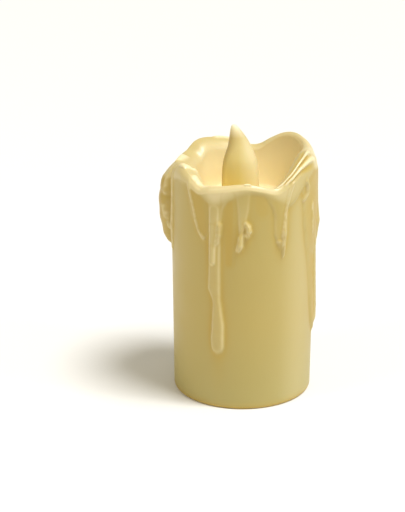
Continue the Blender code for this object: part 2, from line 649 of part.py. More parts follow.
def cut_screw_holes(carrier):
    """Stepped holes for the base screws."""
    head = SCREW_HEAD_RADIUS + GAP
    hole = SCREW_RADIUS + GAP
    step = SCREW_HEAD_HEIGHT + 0.2 * MM
    for azimuth in BASE_SCREW_AZIMUTHS:
        centre = on_circle(BASE_BOSS_CENTRE, azimuth)
        cut(carrier, turned(centre, [(head, -OVERLAP), (head, step), (hole, step),
                                     (hole, PLATE_THICKNESS + OVERLAP)], SCREW_SIDES))


def make_base_screws():
    """Three screws from the base plate up into the shell's bosses."""
    steel = material("base_screw_steel", (0.6, 0.6, 0.62), 0.3, 1.0)
    head_low = 0.2 * MM
    for number, azimuth in enumerate(BASE_SCREW_AZIMUTHS, 1):
        make_screw(f"base_screw_{number}", on_circle(BASE_BOSS_CENTRE, azimuth), head_low,
                   SCREW_HEAD_HEIGHT + 0.2 * MM - GAP, BASE_SCREW_LENGTH, steel)


def make_door():
    """The battery door; its origin is on the hinge line at the hooked edge."""
    surface = material("door_plastic", (0.80, 0.72, 0.50), 0.45)
    half_x = INNER_X + LEDGE - GAP
    front = OPENING_FRONT + GAP
    panel = block((-half_x, front, DOOR_RECESS), (half_x, HINGE_Y, DOOR_TOP))
    door = finish("battery_door", panel, surface, smooth=False)
    hook_low = PLATE_THICKNESS + GAP
    for side in (-1, 1):
        x0, x1 = side * HOOK_X - HOOK_WIDTH / 2, side * HOOK_X + HOOK_WIDTH / 2
        join(door, block((x0, HINGE_Y - 1.4 * MM, DOOR_TOP - OVERLAP),
                         (x1, HINGE_Y, hook_low + HOOK_THICKNESS)))
        join(door, block((x0, HINGE_Y - OVERLAP, hook_low),
                         (x1, HINGE_Y + HOOK_REACH, hook_low + HOOK_THICKNESS)))
    latch_y = CELLS_Y - INNER_Y + GAP
    join(door, block((-LATCH_WIDTH / 2, latch_y, DOOR_TOP - OVERLAP),
                     (LATCH_WIDTH / 2, latch_y + LATCH_THICKNESS, DOOR_TOP + LATCH_HEIGHT)))
    stake = [(STAKE_RADIUS, DOOR_TOP - OVERLAP), (STAKE_RADIUS, DOOR_TOP + STAKE_HEIGHT)]
    join(door, turned((0, CELLS_Y), stake, 12))
    hinge = Vector((0, HINGE_Y, HINGE_Z))
    door.data.transform(Matrix.Translation(-hinge))
    door.location = hinge


def make_cells():
    """Two AAA cells side by side, the second one upside down."""
    surface = material("cell_sleeve", (0.20, 0.22, 0.25), 0.3, 0.6)
    for name, x, foot, turn in (("battery_1", -CELL_X, CELL_UP_FOOT, 1),
                                ("battery_2", CELL_X, CELL_DOWN_TOP, -1)):
        can_top = CELL_LENGTH - CELL_NUB_HEIGHT
        edge = 0.4 * MM
        profile = [(CELL_RADIUS - edge, 0.0), (CELL_RADIUS, edge), (CELL_RADIUS, can_top - edge),
                   (CELL_RADIUS - edge, can_top), (CELL_NUB_RADIUS, can_top), (CELL_NUB_RADIUS, CELL_LENGTH)]
        placed = [(radius, foot + turn * height) for radius, height in profile]
        finish(name, turned((x, CELLS_Y), placed, CELL_SIDES), surface)


def spring(centre, foot, direction):
    """A conical contact spring that stands on a plate."""
    points = []
    steps = int(SPRING_TURNS * 14)
    for k in range(steps + 1):
        share = k / steps
        angle = 2 * math.pi * SPRING_TURNS * share
        radius = SPRING_FOOT_RADIUS + (SPRING_TIP_RADIUS - SPRING_FOOT_RADIUS) * share
        rise = (SPRING_HEIGHT - SPRING_WIRE) * share
        points.append((centre[0] + radius * math.cos(angle), centre[1] + radius * math.sin(angle),
                       foot + direction * rise))
    return swept(points, SPRING_WIRE, 6)


def make_contacts():
    """The bridging contact on the door and the two upper contacts with their tags."""
    brass = material("contact_brass", (0.78, 0.70, 0.45), 0.3, 1.0)
    nickel = material("contact_nickel", (0.70, 0.70, 0.68), 0.3, 1.0)
    low = STRIP_TOP - SHEET
    reach = CELL_X + CONTACT_WIDTH / 2
    half = STRIP_WIDTH / 2
    strip = finish("door_contact", block((-reach, CELLS_Y - half, low), (reach, CELLS_Y + half, STRIP_TOP)),
                   nickel, smooth=False)
    hole = STAKE_RADIUS + GAP
    cut(strip, turned((0, CELLS_Y), [(hole, low - OVERLAP), (hole, STRIP_TOP + OVERLAP)], 12))
    join(strip, spring((-CELL_X, CELLS_Y), STRIP_TOP, 1))
    pip = [(PIP_RADIUS, STRIP_TOP - SHEET / 2), (PIP_RADIUS, STRIP_TOP + PIP_HEIGHT)]
    join(strip, turned((CELL_X, CELLS_Y), pip, 16))
    for name, x, surface in (("contact_positive", -CELL_X, brass), ("contact_negative", CELL_X, nickel)):
        side = CONTACT_WIDTH / 2
        plate = block((x - side, CELLS_Y - side, CONTACT_UNDER),
                      (x + side, CELLS_Y + side, CONTACT_UNDER + SHEET))
        contact = finish(name, plate, surface, smooth=False)
        join(contact, block((x - TAG_WIDTH / 2, CELLS_Y - SHEET / 2, CONTACT_UNDER + SHEET / 2),
                            (x + TAG_WIDTH / 2, CELLS_Y + SHEET / 2, ROOF_TOP + TAG_RISE)))
        if x < 0:
            join(contact, turned((x, CELLS_Y), [(PIP_RADIUS, CONTACT_UNDER - PIP_HEIGHT),
                                                (PIP_RADIUS, CONTACT_UNDER + SHEET / 2)], 16))
        else:
            join(contact, spring((x, CELLS_Y), CONTACT_UNDER, -1))


# Slide switch

def make_switch():
    """The slide switch behind the base plate, drawn in its off position."""
    steel = material("switch_steel", (0.65, 0.65, 0.66), 0.3, 1.0)
    half_x, half_y = SWITCH_LENGTH / 2, SWITCH_WIDTH / 2
    housing = finish("switch_housing", block((-half_x, SWITCH_Y - half_y, SWITCH_UNDER),
                                             (half_x, SWITCH_Y + half_y, SWITCH_TOP)), steel, smooth=False)
    in_x, in_y = half_x - SWITCH_SHEET, half_y - SWITCH_SHEET
    cut(housing, block((-in_x, SWITCH_Y - in_y, SWITCH_UNDER + SWITCH_SHEET),
                       (in_x, SWITCH_Y + in_y, SWITCH_TOP + OVERLAP)))
    slot_x = (SWITCH_TRAVEL + STEM_WIDTH) / 2 + GAP
    slot_y = STEM_DEPTH / 2 + GAP
    cut(housing, block((-slot_x, SWITCH_Y - slot_y, SWITCH_UNDER - OVERLAP),
                       (slot_x, SWITCH_Y + slot_y, SWITCH_UNDER + 2 * SWITCH_SHEET)))
    resin = material("terminal_resin", (0.45, 0.28, 0.14), 0.5)
    low = SWITCH_TOP - TERMINAL_THICKNESS
    terminal = finish("switch_terminal_plate",
                      block((-in_x + GAP, SWITCH_Y - in_y + GAP, low),
                            (in_x - GAP, SWITCH_Y + in_y - GAP, SWITCH_TOP)),
                      resin, smooth=False)
    pin_metal = material("pin_metal", (0.75, 0.72, 0.65), 0.3, 1.0)
    for number in (1, 2, 3):
        x = (number - 2) * PIN_SPACING
        wide, thick = PIN_WIDTH / 2, SHEET / 2
        cut(terminal, block((x - wide - GAP, SWITCH_Y - thick - GAP, low - OVERLAP),
                            (x + wide + GAP, SWITCH_Y + thick + GAP, SWITCH_TOP + OVERLAP)))
        finish(f"switch_pin_{number}", block((x - wide, SWITCH_Y - thick, low),
                                             (x + wide, SWITCH_Y + thick, SWITCH_TOP + PIN_RISE)),
               pin_metal, smooth=False)
    make_knob(SWITCH_UNDER + SWITCH_SHEET + GAP)


def make_knob(slider_low):
    """The switch's slider, stem and thumb pad, at the off end of its travel."""
    off = -SWITCH_TRAVEL / 2
    surface = material("knob_plastic", (0.05, 0.05, 0.05), 0.4)

    def centred(width, depth, low, high):
        return block((off - width / 2, SWITCH_Y - depth / 2, low),
                     (off + width / 2, SWITCH_Y + depth / 2, high))

    pad_low = DOOR_RECESS
    pad_high = pad_low + PAD_THICKNESS
    knob = finish("switch_knob", centred(PAD_WIDTH, PAD_DEPTH, pad_low, pad_high), surface, smooth=False)
    join(knob, centred(STEM_WIDTH, STEM_DEPTH, pad_high - 0.3 * MM, slider_low + 0.4 * MM))
    join(knob, centred(SLIDER_WIDTH, SLIDER_DEPTH, slider_low, slider_low + SLIDER_HEIGHT))
    for k in (-1, 0, 1):
        groove = off + k * 0.9 * MM
        cut(knob, block((groove - 0.2 * MM, SWITCH_Y - PAD_DEPTH, pad_low - OVERLAP),
                        (groove + 0.2 * MM, SWITCH_Y + PAD_DEPTH, pad_low + 0.25 * MM)))


# Wires

def make_wires():
    """The three insulated wires between cells, switch and board."""
    pin_top = SWITCH_TOP + PIN_RISE + GAP
    tag_y = CELLS_Y - SHEET / 2 - GAP
    tag_z = ROOF_TOP + TAG_RISE - 1.0 * MM
    front = CELLS_Y - INNER_Y - WELL_BOX_WALL
    board = BOARD_UNDER - GAP
    middle = (tag_z + pin_top) / 2
    routes = {
        "wire_cell_to_switch": ((0.75, 0.08, 0.06), [
            (-CELL_X, tag_y, tag_z), (-CELL_X - 1.2 * MM, tag_y - 3.5 * MM, tag_z),
            (-CELL_X - 2.2 * MM, front - 0.6 * MM, tag_z - 0.8 * MM),
            (-CELL_X - 2.6 * MM, front - 2.2 * MM, tag_z - 4.5 * MM),
            (-CELL_X - 1.6 * MM, front - 3.0 * MM, middle), (-4.5 * MM, front - 5.0 * MM, middle / 2),
            (-PIN_SPACING - 0.6 * MM, SWITCH_Y + 2.2 * MM, pin_top + 6.0 * MM),
            (-PIN_SPACING, SWITCH_Y, pin_top + 1.6 * MM), (-PIN_SPACING, SWITCH_Y, pin_top)]),
        "wire_switch_to_board": ((0.85, 0.75, 0.10), [
            (0, SWITCH_Y, pin_top), (0, SWITCH_Y, pin_top + 1.6 * MM),
            (1.2 * MM, SWITCH_Y - 1.0 * MM, pin_top + 7.0 * MM),
            (3.6 * MM, SWITCH_Y - 1.6 * MM, middle), (4.6 * MM, SWITCH_Y + 1.2 * MM, board - 9.0 * MM),
            (5.0 * MM, SWITCH_Y + 3.6 * MM, board - 2.2 * MM), (5.0 * MM, SWITCH_Y + 3.9 * MM, board)]),
        "wire_cell_to_board": ((0.04, 0.04, 0.04), [
            (CELL_X, tag_y, tag_z), (CELL_X + 0.8 * MM, tag_y - 2.0 * MM, tag_z),
            (CELL_X + 2.4 * MM, tag_y - 3.6 * MM, tag_z + 0.2 * MM),
            (CELL_X + 3.4 * MM, tag_y - 4.4 * MM, board - 0.3 * (board - tag_z)),
            (CELL_X + 3.5 * MM, tag_y - 4.5 * MM, board)]),
    }
    for name, (colour, route) in routes.items():
        finish(name, swept(smooth_path(route, 3), WIRE_RADIUS, 8), material(name, colour, 0.4))


def main():
    clear_scene()
    make_shell()
    make_flame()
    make_led()
    make_board()
    make_carrier()
    make_base_screws()
    make_door()
    make_cells()
    make_contacts()
    make_switch()
    make_wires()


main()
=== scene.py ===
"""Looks of a flameless LED candle: the wax-look shell, the flame and the parts under and inside it.

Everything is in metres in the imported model's own frame: +Z up, the front towards -Y, the origin at the
centre of the base. Azimuths are in degrees, measured from +X towards +Y.
"""
from __future__ import annotations

import logging
import math
from dataclasses import dataclass, field
from enum import Enum
from itertools import pairwise
from typing import Iterator

import bpy
import numpy as np
from mathutils import Euler, Matrix, Vector

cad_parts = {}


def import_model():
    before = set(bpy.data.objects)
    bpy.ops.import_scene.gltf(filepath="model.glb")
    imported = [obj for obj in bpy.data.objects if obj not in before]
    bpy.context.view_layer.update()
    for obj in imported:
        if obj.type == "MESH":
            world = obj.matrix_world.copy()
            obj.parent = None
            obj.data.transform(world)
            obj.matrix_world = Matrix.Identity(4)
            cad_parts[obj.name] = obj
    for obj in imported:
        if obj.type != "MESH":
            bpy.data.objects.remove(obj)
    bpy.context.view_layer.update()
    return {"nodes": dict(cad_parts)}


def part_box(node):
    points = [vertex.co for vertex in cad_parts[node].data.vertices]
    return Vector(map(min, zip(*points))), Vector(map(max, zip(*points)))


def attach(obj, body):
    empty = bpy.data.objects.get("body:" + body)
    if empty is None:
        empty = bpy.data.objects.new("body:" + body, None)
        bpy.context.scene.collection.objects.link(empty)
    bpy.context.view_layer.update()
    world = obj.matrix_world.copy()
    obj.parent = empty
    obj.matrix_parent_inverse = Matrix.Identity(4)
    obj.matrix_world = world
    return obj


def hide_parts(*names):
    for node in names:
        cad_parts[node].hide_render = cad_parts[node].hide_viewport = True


MM = 0.001
LOG = logging.getLogger("candle")

MERGE = 1e-6  # points closer than this are one
END_INSET = 0.4  # inset of a filled end, over its radius
STEP = 0.1 * MM  # half of the height over which a stepped colour changes

Array = np.ndarray
Piece = bpy.types.Object
Material = bpy.types.Material
Socket = bpy.types.NodeSocket
Pair = tuple[float, float]
Triple = tuple[float, float, float]
Rgb = Triple
Table = tuple[Pair, ...]


# ---------------------------------------------------------------- small tools


def deselect_all() -> None:
    """Leave edit mode and select nothing."""
    if bpy.context.object and bpy.context.object.mode != "OBJECT":
        bpy.ops.object.mode_set(mode="OBJECT")
    bpy.ops.object.select_all(action="DESELECT")


def make_active(piece: Piece) -> None:
    """Select one object alone and make it the active one."""
    deselect_all()
    piece.select_set(True)
    bpy.context.view_layer.objects.active = piece


def apply_modifiers(piece: Piece) -> None:
    """Apply every modifier of a piece, in order."""
    make_active(piece)
    for modifier in list(piece.modifiers):
        bpy.ops.object.modifier_apply(modifier=modifier.name)


def name_piece(piece: Piece, name: str) -> None:
    """Give a piece and its mesh one name."""
    piece.name = name
    piece.data.name = name


def settle(piece: Piece) -> None:
    """Put a piece's place into its mesh, so that its object sits at the origin."""
    piece.data.transform(piece.matrix_basis)
    piece.matrix_basis = Matrix.Identity(4)


def edit_all() -> None:
    """Enter edit mode with all of the active piece selected."""
    bpy.ops.object.mode_set(mode="EDIT")
    bpy.ops.mesh.select_all(action="SELECT")


def tidy_mesh(piece: Piece) -> None:
    """Merge doubles and turn every face outwards."""
    make_active(piece)
    edit_all()
    bpy.ops.mesh.remove_doubles(threshold=MERGE)
    bpy.ops.mesh.normals_make_consistent(inside=False)
    bpy.ops.object.mode_set(mode="OBJECT")


def shade_smooth(piece: Piece, degrees: float) -> None:
    """Shade a piece smooth, with sharp edges where faces meet at more than an angle."""
    make_active(piece)
    bpy.ops.object.shade_smooth_by_angle(angle=math.radians(degrees))


def dress(piece: Piece, surface: Material) -> None:
    """Give a piece one material in place of whatever it has."""
    piece.data.materials.clear()
    piece.data.materials.append(surface)


def mesh_points(piece: Piece) -> Array:
    """A piece's vertices as an array of shape (count, 3)."""
    points = np.zeros(len(piece.data.vertices) * 3)
    piece.data.vertices.foreach_get("co", points)
    return points.reshape(-1, 3)


def put_points(piece: Piece, points: Array) -> None:
    """Move a piece's vertices to new places."""
    piece.data.vertices.foreach_set("co", points.astype(np.float32).ravel())
    piece.data.update()


def add_attribute(piece: Piece, name: str, values: Array) -> None:
    """Store one number for each vertex of a piece, for its material to read."""
    layer = piece.data.attributes.new(name, "FLOAT", "POINT")
    layer.data.foreach_set("value", values.astype(np.float32))


def cubic(a: Array, b: Array, c: Array, d: Array, t: float | Array) -> Array:
    """The place at t, from 0 at b to 1 at c, on a smooth curve through a, b, c and d."""
    return 0.5 * (2 * b + (c - a) * t + (2 * a - 5 * b + 4 * c - d) * t**2 + (3 * b - a - 3 * c + d) * t**3)


def catmull(points: Array, steps: int) -> Array:
    """A smooth curve through points.

    Args:
        points: the curve's own points, of shape (count, dimensions), or (count, columns, dimensions).
        steps: how many parts each span is cut into.

    Returns:
        The points along the curve, both ends included.
    """
    ends = np.concatenate([2 * points[:1] - points[1:2], points, 2 * points[-1:] - points[-2:-1]])
    curve = [cubic(a, b, c, d, k / steps)
             for a, b, c, d in zip(ends, ends[1:], ends[2:], ends[3:]) for k in range(steps)]
    return np.array([*curve, points[-1]])


def ring_table(azimuths: Array, table: Table) -> Array:
    """Values at azimuths from a closed table of (azimuth, value), on a smooth periodic curve.

    Args:
        azimuths: where the values are wanted, in degrees.
        table: the curve's points, in order round the candle.

    Returns:
        One value for each azimuth.
    """
    at, value = np.array(table, float).T
    count = len(at)
    turned = (azimuths - at[0]) % 360 + at[0]
    index = np.searchsorted(at, turned, side="right") - 1
    following = (index + 1) % count
    end = np.where(index == count - 1, at[0] + 360, at[following])
    t = (turned - at[index]) / (end - at[index])
    return cubic(value[index - 1], value[index], value[following], value[(index + 2) % count], t)


def smooth_union(first: Array, second: Array, blend: float) -> Array:
    """The larger of two heights, with a fillet where both stand up.

    Args:
        first: one height field.
        second: the other.
        blend: the fillet's size.

    Returns:
        The joined height field.
    """
    near = np.clip(blend - np.abs(first - second), 0, None)**2 / (4 * blend)
    return np.maximum(first, second) + near * np.clip(np.minimum(first, second) / blend, 0, 1)


def blur_rows(grid: Array, passes: int) -> Array:
    """Soften a grid of rows that close round the candle, a little each way in each pass."""
    for _ in range(passes):
        grid = 0.25 * np.roll(grid, 1, axis=1) + 0.5 * grid + 0.25 * np.roll(grid, -1, axis=1)
        padded = np.concatenate([grid[:1], grid, grid[-1:]])
        grid = 0.25 * padded[:-2] + 0.5 * padded[1:-1] + 0.25 * padded[2:]
    return grid


def scale_picked(scale_x: float, scale_y: float, centre: Vector) -> None:
    """Scale what is selected in edit mode, level, about a centre."""
    bpy.ops.transform.resize(value=(scale_x, scale_y, 1), center_override=centre)


def lift_ring(move: Vector) -> None:
    """Extrude the selected ring of edges and move the new ring."""
    bpy.ops.mesh.extrude_edges_move(TRANSFORM_OT_translate={"value": move})


def close_end(radius: float) -> None:
    """Fill the selected ring, of that radius, and inset the fill."""
    bpy.ops.mesh.edge_face_add()
    bpy.ops.mesh.inset(thickness=END_INSET * radius)


def turn(name: str, centre: Pair, profile: list[Pair], sides: int = 48,
         closed: bool = False) -> Piece:
    """A turned piece about a vertical axis, drawn up ring by ring.

    Args:
        name: the piece's name.
        centre: where the axis stands.
        profile: radius and height of each ring, none of radius 0.
        sides: how many sides the rings have.
        closed: whether the last ring meets the first, as round a hole; otherwise both ends are filled.

    Returns:
        The piece.
    """
    deselect_all()
    radius, height = profile[0]
    bpy.ops.mesh.primitive_circle_add(vertices=sides, radius=radius, location=(*centre, height))
    piece = bpy.context.object
    settle(piece)
    name_piece(piece, name)
    edit_all()
    if not closed:
        close_end(radius)
        bpy.ops.object.mode_set(mode="OBJECT")
        pick_ring(piece, radius, height, centre)
        bpy.ops.object.mode_set(mode="EDIT")
    for wide, level in profile[1:] + profile[:1] * closed:
        lift_ring(Vector((0, 0, level - height)))
        scale_picked(wide / radius, wide / radius, Vector((*centre, level)))
        radius, height = wide, level
    if not closed:
        close_end(radius)
    tidy_mesh(piece)
    shade_smooth(piece, 40)
    return piece


def pick_ring(piece: Piece, radius: float, height: float, centre: Pair) -> None:
    """Select only the edges of the ring of that radius and height, for edit mode."""
    points = mesh_points(piece)
    far = np.hypot(points[:, 0] - centre[0], points[:, 1] - centre[1])
    picked = (np.abs(far - radius) < MERGE) & (np.abs(points[:, 2] - height) < MERGE)
    for group in (piece.data.polygons, piece.data.edges, piece.data.vertices):
        group.foreach_set("select", np.zeros(len(group), bool))
    for edge in piece.data.edges:
        edge.select = all(picked[v] for v in edge.vertices)
    piece.data.vertices.foreach_set("select", picked)


def round_profile(radius: float, low: float, high: float, edge: float) -> list[Pair]:
    """Profile of a cylinder with rounded edges, from its foot to its top."""
    turns = [math.radians(angle) for angle in (0, 22.5, 45, 67.5, 90)]
    foot = [(radius - edge * (1 - math.sin(a)), low + edge * (1 - math.cos(a))) for a in turns]
    top = [(radius - edge * (1 - math.cos(a)), high - edge * (1 - math.sin(a))) for a in turns]
    return foot + top


def carve(piece: Piece, tool: Piece) -> None:
    """Cut a tool out of a piece and remove the tool."""
    cut = piece.modifiers.new("cut", "BOOLEAN")
    cut.operation = "DIFFERENCE"
    cut.solver = "EXACT"
    cut.object = tool
    apply_modifiers(piece)
    bpy.data.objects.remove(tool, do_unlink=True)


# ------------------------------------------------------------------- finishes


class NodeSheet:
    """A material's node tree, with short calls that add and link its nodes."""

    def __init__(self, name: str) -> None:
        """Start a material that holds a Principled shader and Object coordinates."""
        self.material = bpy.data.materials.new(name)
        self.material.use_nodes = True
        self.tree = self.material.node_tree
        self.shader = self.tree.nodes["Principled BSDF"]
        self.place = self.tree.nodes.new("ShaderNodeTexCoord").outputs["Object"]

    def put(self, kind: str, values: dict[str | int, object] | None = None,
            **settings: object) -> bpy.types.Node:
        """Add a node.

        Args:
            kind: the node's type name.
            values: input name or number to a number, a colour or an output socket to link.
            settings: the node's own properties.

        Returns:
            The node.
        """
        node = self.tree.nodes.new(kind)
        for name, value in settings.items():
            setattr(node, name, value)
        for name, value in (values or {}).items():
            self.feed(node.inputs[name], value)
        return node

    def feed(self, socket: Socket, value: object) -> None:
        """Set a socket to a value, or link it when the value is an output."""
        if isinstance(value, Socket):
            self.tree.links.new(value, socket)
        else:
            socket.default_value = value

    def shade(self, **values: object) -> None:
        """Set or link the shader's sockets, with underscores for the spaces in their names."""
        for name, value in values.items():
            self.feed(self.shader.inputs[name.replace("_", " ")], value)

    def axes(self) -> bpy.types.bpy_prop_collection:
        """The Object coordinates' outputs X, Y and Z."""
        return self.put("ShaderNodeSeparateXYZ", {"Vector": self.place}).outputs

    def noise(self, scale: float, detail: float = 3.0, stretch: Triple = (1, 1, 1)) -> Socket:
        """Noise on Object coordinates.

        Args:
            scale: how many cells there are in a metre.
            detail: how many finer octaves it has.
            stretch: the coordinates' scale along each axis.

        Returns:
            The noise's factor output.
        """
        mapped = self.put("ShaderNodeMapping", {"Vector": self.place, "Scale": stretch})
        return self.put("ShaderNodeTexNoise", {"Vector": mapped.outputs["Vector"], "Scale": scale,
                                               "Detail": detail}).outputs["Fac"]

    def ramp(self, factor: Socket, *stops: Pair) -> Socket:
        """A grey ramp over a factor.

        Args:
            factor: the output that drives the ramp.
            stops: place and grey level of each stop.

        Returns:
            The ramp's colour output.
        """
        node = self.put("ShaderNodeValToRGB", {"Fac": factor})
        elements = node.color_ramp.elements
        while len(elements) < len(stops):
            elements.new(0.5)
        for element, (place, grey) in zip(elements, stops):
            element.position = place
            element.color = (grey, grey, grey, 1.0)
        return node.outputs["Color"]

    def mix(self, factor: object, first: object, second: object) -> Socket:
        """Mix two colours, each a tuple or an output, and return the result's output."""
        node = self.put("ShaderNodeMix", {"Factor": factor}, data_type="RGBA")
        for name, value in (("A", first), ("B", second)):
            socket = next(s for s in node.inputs if s.name == name and s.type == "RGBA")
            self.feed(socket, (*value, 1.0) if isinstance(value, tuple) else value)
        return next(s for s in node.outputs if s.type == "RGBA")

    def span(self, value: Socket, start: float, end: float) -> Socket:
        """A value's place between two bounds, from 0 to 1."""
        bounds = {"Value": value, "From Min": start, "From Max": end}
        return self.put("ShaderNodeMapRange", bounds).outputs["Result"]

    def above(self, value: Socket, level: float) -> Socket:
        """1 where a value is above a level and 0 where it is below."""
        return self.span(value, level - STEP, level + STEP)

    def attribute(self, name: str) -> Socket:
        """The number that the mesh stores for each vertex under a name."""
        return self.put("ShaderNodeAttribute", attribute_name=name).outputs["Fac"]

    def math(self, operation: str, *values: object) -> Socket:
        """A sum on numbers or outputs, held between 0 and 1."""
        node = self.put("ShaderNodeMath", dict(enumerate(values)), operation=operation, use_clamp=True)
        return node.outputs[0]

    def scaled(self, value: object, gain: float, offset: float = 0.0) -> Socket:
        """A value times a gain plus an offset, held between 0 and 1."""
        return self.math("MULTIPLY_ADD", value, gain, offset)

    def bump(self, height: Socket, depth: float, strength: float = 1.0,
             under: Socket | None = None) -> Socket:
        """A bump from a height, laid over another bump if one is given.

        Args:
            height: the output that gives the height from 0 to 1.
            depth: what a height of 1 stands for, in metres.
            strength: how much of it shows.
            under: the normal of a bump below this one.

        Returns:
            The normal output.
        """
        values: dict[str, object] = {"Height": height, "Distance": depth, "Strength": strength}
        if under is not None:
            values["Normal"] = under
        return self.put("ShaderNodeBump", values).outputs["Normal"]


@dataclass(frozen=True)
class WaxFinish:
    """The shell's wax-look plastic: creamy where it ran and thickened, with painted highlights, a painted
    sheen, and painted shade in creases, hollows and towards the base.
    """

    name: str = "wax_plastic"
    body: Rgb = (0.495, 0.372, 0.090)
    # Creamy tone of the wax, also the colour of the painted highlights and sheen.
    cream_and_highlight: Rgb = (0.88, 0.76, 0.46)
    # Colour of the painted shade in creases, hollows and under the rim.
    shade_colour: Rgb = (0.50, 0.335, 0.045)
    # Colour and reach of the painted shade towards the base.
    foot: Rgb = (0.430, 0.350, 0.098)
    base_shade_reach: float = 32 * MM
    cloud_tint: float = 0.9
    satin: Pair = (0.36, 0.46)
    cream_roughness: float = 0.38
    dent_depth: float = 0.20 * MM
    grain_depth: float = 0.02 * MM

    def build(self) -> Material:
        """Build the material, which reads the mesh's `cream_and_highlight` and `painted_shade` attributes:
        paleness with painted highlights, and painted shade.
        """
        sheet = NodeSheet(self.name)
        cream_and_highlight = sheet.attribute("cream_and_highlight")
        cloud = sheet.noise(38.0, 4.0, (1, 1, 0.45))
        cloudy = tuple(self.cloud_tint * value for value in self.body)
        tone = sheet.mix(sheet.scaled(cloud, 0.5, -0.05), self.body, cloudy)
        # Painted shade: darker towards the base.
        tone = sheet.mix(sheet.span(sheet.axes()["Z"], self.base_shade_reach, 0.0), tone, self.foot)
        # Paleness from the mesh: creamy wax, painted highlights and painted sheen.
        pale = sheet.mix(sheet.scaled(cream_and_highlight, 1.0), tone, self.cream_and_highlight)
        # Painted shade from the mesh.
        final = sheet.mix(sheet.scaled(sheet.attribute("painted_shade"), 1.0), pale, self.shade_colour)
        satin = sheet.ramp(sheet.noise(90.0), (0.3, self.satin[0]), (0.7, self.satin[1]))
        rough = sheet.mix(sheet.scaled(cream_and_highlight, 1.6), satin, (self.cream_roughness,) * 3)
        dents = sheet.bump(sheet.noise(160.0, 2.0, (1, 1, 0.4)), self.dent_depth, 0.35)
        grain = sheet.bump(sheet.noise(2600.0, 2.0), self.grain_depth, 0.30, dents)
        sheet.shade(Base_Color=final, Roughness=rough, Normal=grain, IOR=1.47, Specular_IOR_Level=0.8,
                    Subsurface_Weight=0.12, Subsurface_Scale=1.5 * MM, Subsurface_Radius=(1.0, 0.6, 0.25))
        return sheet.material


@dataclass(frozen=True)
class FlameFinish:
    """The flame's tinted plastic: golden at the foot, with painted light making it paler to the right, a
    painted highlight at the point and painted shade along its side edges.
    """

    name: str = "flame_plastic"
    foot: Rgb = (0.84, 0.67, 0.20)
    # Lit copy of the foot colour, for the painted light on the right side.
    foot_lit: Rgb = (0.96, 0.85, 0.50)
    tip: Rgb = (0.715, 0.59, 0.275)
    # Lit copy of the tip colour, for the painted light on the right side.
    tip_lit: Rgb = (0.97, 0.90, 0.66)
    # Colour of the painted shade along the side edges.
    edge_shade: Rgb = (0.45, 0.30, 0.06)
    # Colour of the painted highlight at the point.
    point: Rgb = (0.96, 0.90, 0.68)
    cloud: Rgb = (0.76, 0.60, 0.20)
    heights: Pair = (72 * MM, 94 * MM)
    # Heights over which the painted highlight at the point comes in.
    tip_highlight_heights: Pair = (93.0 * MM, 97.5 * MM)
    half_width: float = 6.0 * MM
    # Width of the painted shade along the side edges.
    edge_shade_width: float = 3.4 * MM

    def build(self) -> Material:
        """Build the material: painted light makes it paler to the right and with height, and painted shade
        darkens it along its side edges, more on the left.
        """
        sheet = NodeSheet(self.name)
        place = sheet.axes()
        # Painted light: paler towards the lit right side.
        side = sheet.span(place["X"], -0.3 * self.half_width, self.half_width)
        colour = sheet.mix(sheet.span(place["Z"], *self.heights), sheet.mix(side, self.foot, self.foot_lit),
                           sheet.mix(side, self.tip, self.tip_lit))
        # Painted shade along the side edges, stronger on the left.
        edge_band = sheet.span(sheet.math("ABSOLUTE", place["Y"]), self.edge_shade_width, 0.3 * self.edge_shade_width)
        left = sheet.span(place["X"], 0.2 * self.half_width, -0.7 * self.half_width)
        line = sheet.math("MULTIPLY", edge_band, sheet.scaled(left, 0.65, 0.2))
        colour = sheet.mix(line, colour, self.edge_shade)
        # Painted highlight at the point.
        colour = sheet.mix(sheet.span(place["Z"], *self.tip_highlight_heights), colour, self.point)
        colour = sheet.mix(sheet.scaled(sheet.noise(150.0, 2.0), 0.25), colour, self.cloud)
        rough = sheet.ramp(sheet.noise(300.0), (0.3, 0.34), (0.7, 0.42))
        normal = sheet.bump(sheet.noise(420.0, 2.0), 0.06 * MM, 0.25)
        sheet.shade(Base_Color=colour, Roughness=rough, Normal=normal, IOR=1.48, Subsurface_Weight=0.15,
                    Subsurface_Scale=2.0 * MM, Subsurface_Radius=(1.0, 0.55, 0.2))
        return sheet.material


class Grain(Enum):
    """How a plain finish's fine pattern runs."""

    EVEN = (1.0, 1.0, 1.0)
    UPRIGHT = (1.0, 1.0, 0.06)
    ACROSS = (0.06, 1.0, 1.0)


@dataclass(frozen=True)
class PlainFinish:
    """A moulded, painted or metal surface with a fine grain, soft blotches and slight wear."""

    name: str
    colour: Rgb
    roughness: float
    metallic: float = 0.0
    grain_scale: float = 2400.0
    grain_depth: float = 0.02 * MM
    grain: Grain = Grain.EVEN
    tint: float = 0.86
    transmission: float = 0.0

    def build(self) -> Material:
        """Build the material."""
        sheet = NodeSheet(self.name)
        blotch = sheet.noise(210.0, 3.0)
        fine = sheet.noise(self.grain_scale, 3.0, self.grain.value)
        darker = tuple(self.tint * value for value in self.colour)
        colour = sheet.mix(sheet.scaled(blotch, 1.4, -0.2), self.colour, darker)
        colour = sheet.mix(sheet.scaled(fine, 0.5, -0.1), colour, darker)
        rough = sheet.ramp(fine, (0.25, max(self.roughness - 0.07, 0.03)), (0.75, self.roughness + 0.08))
        sheet.shade(Base_Color=colour, Roughness=rough, Metallic=self.metallic,
                    Normal=sheet.bump(fine, self.grain_depth, 0.5), Transmission_Weight=self.transmission)
        return sheet.material


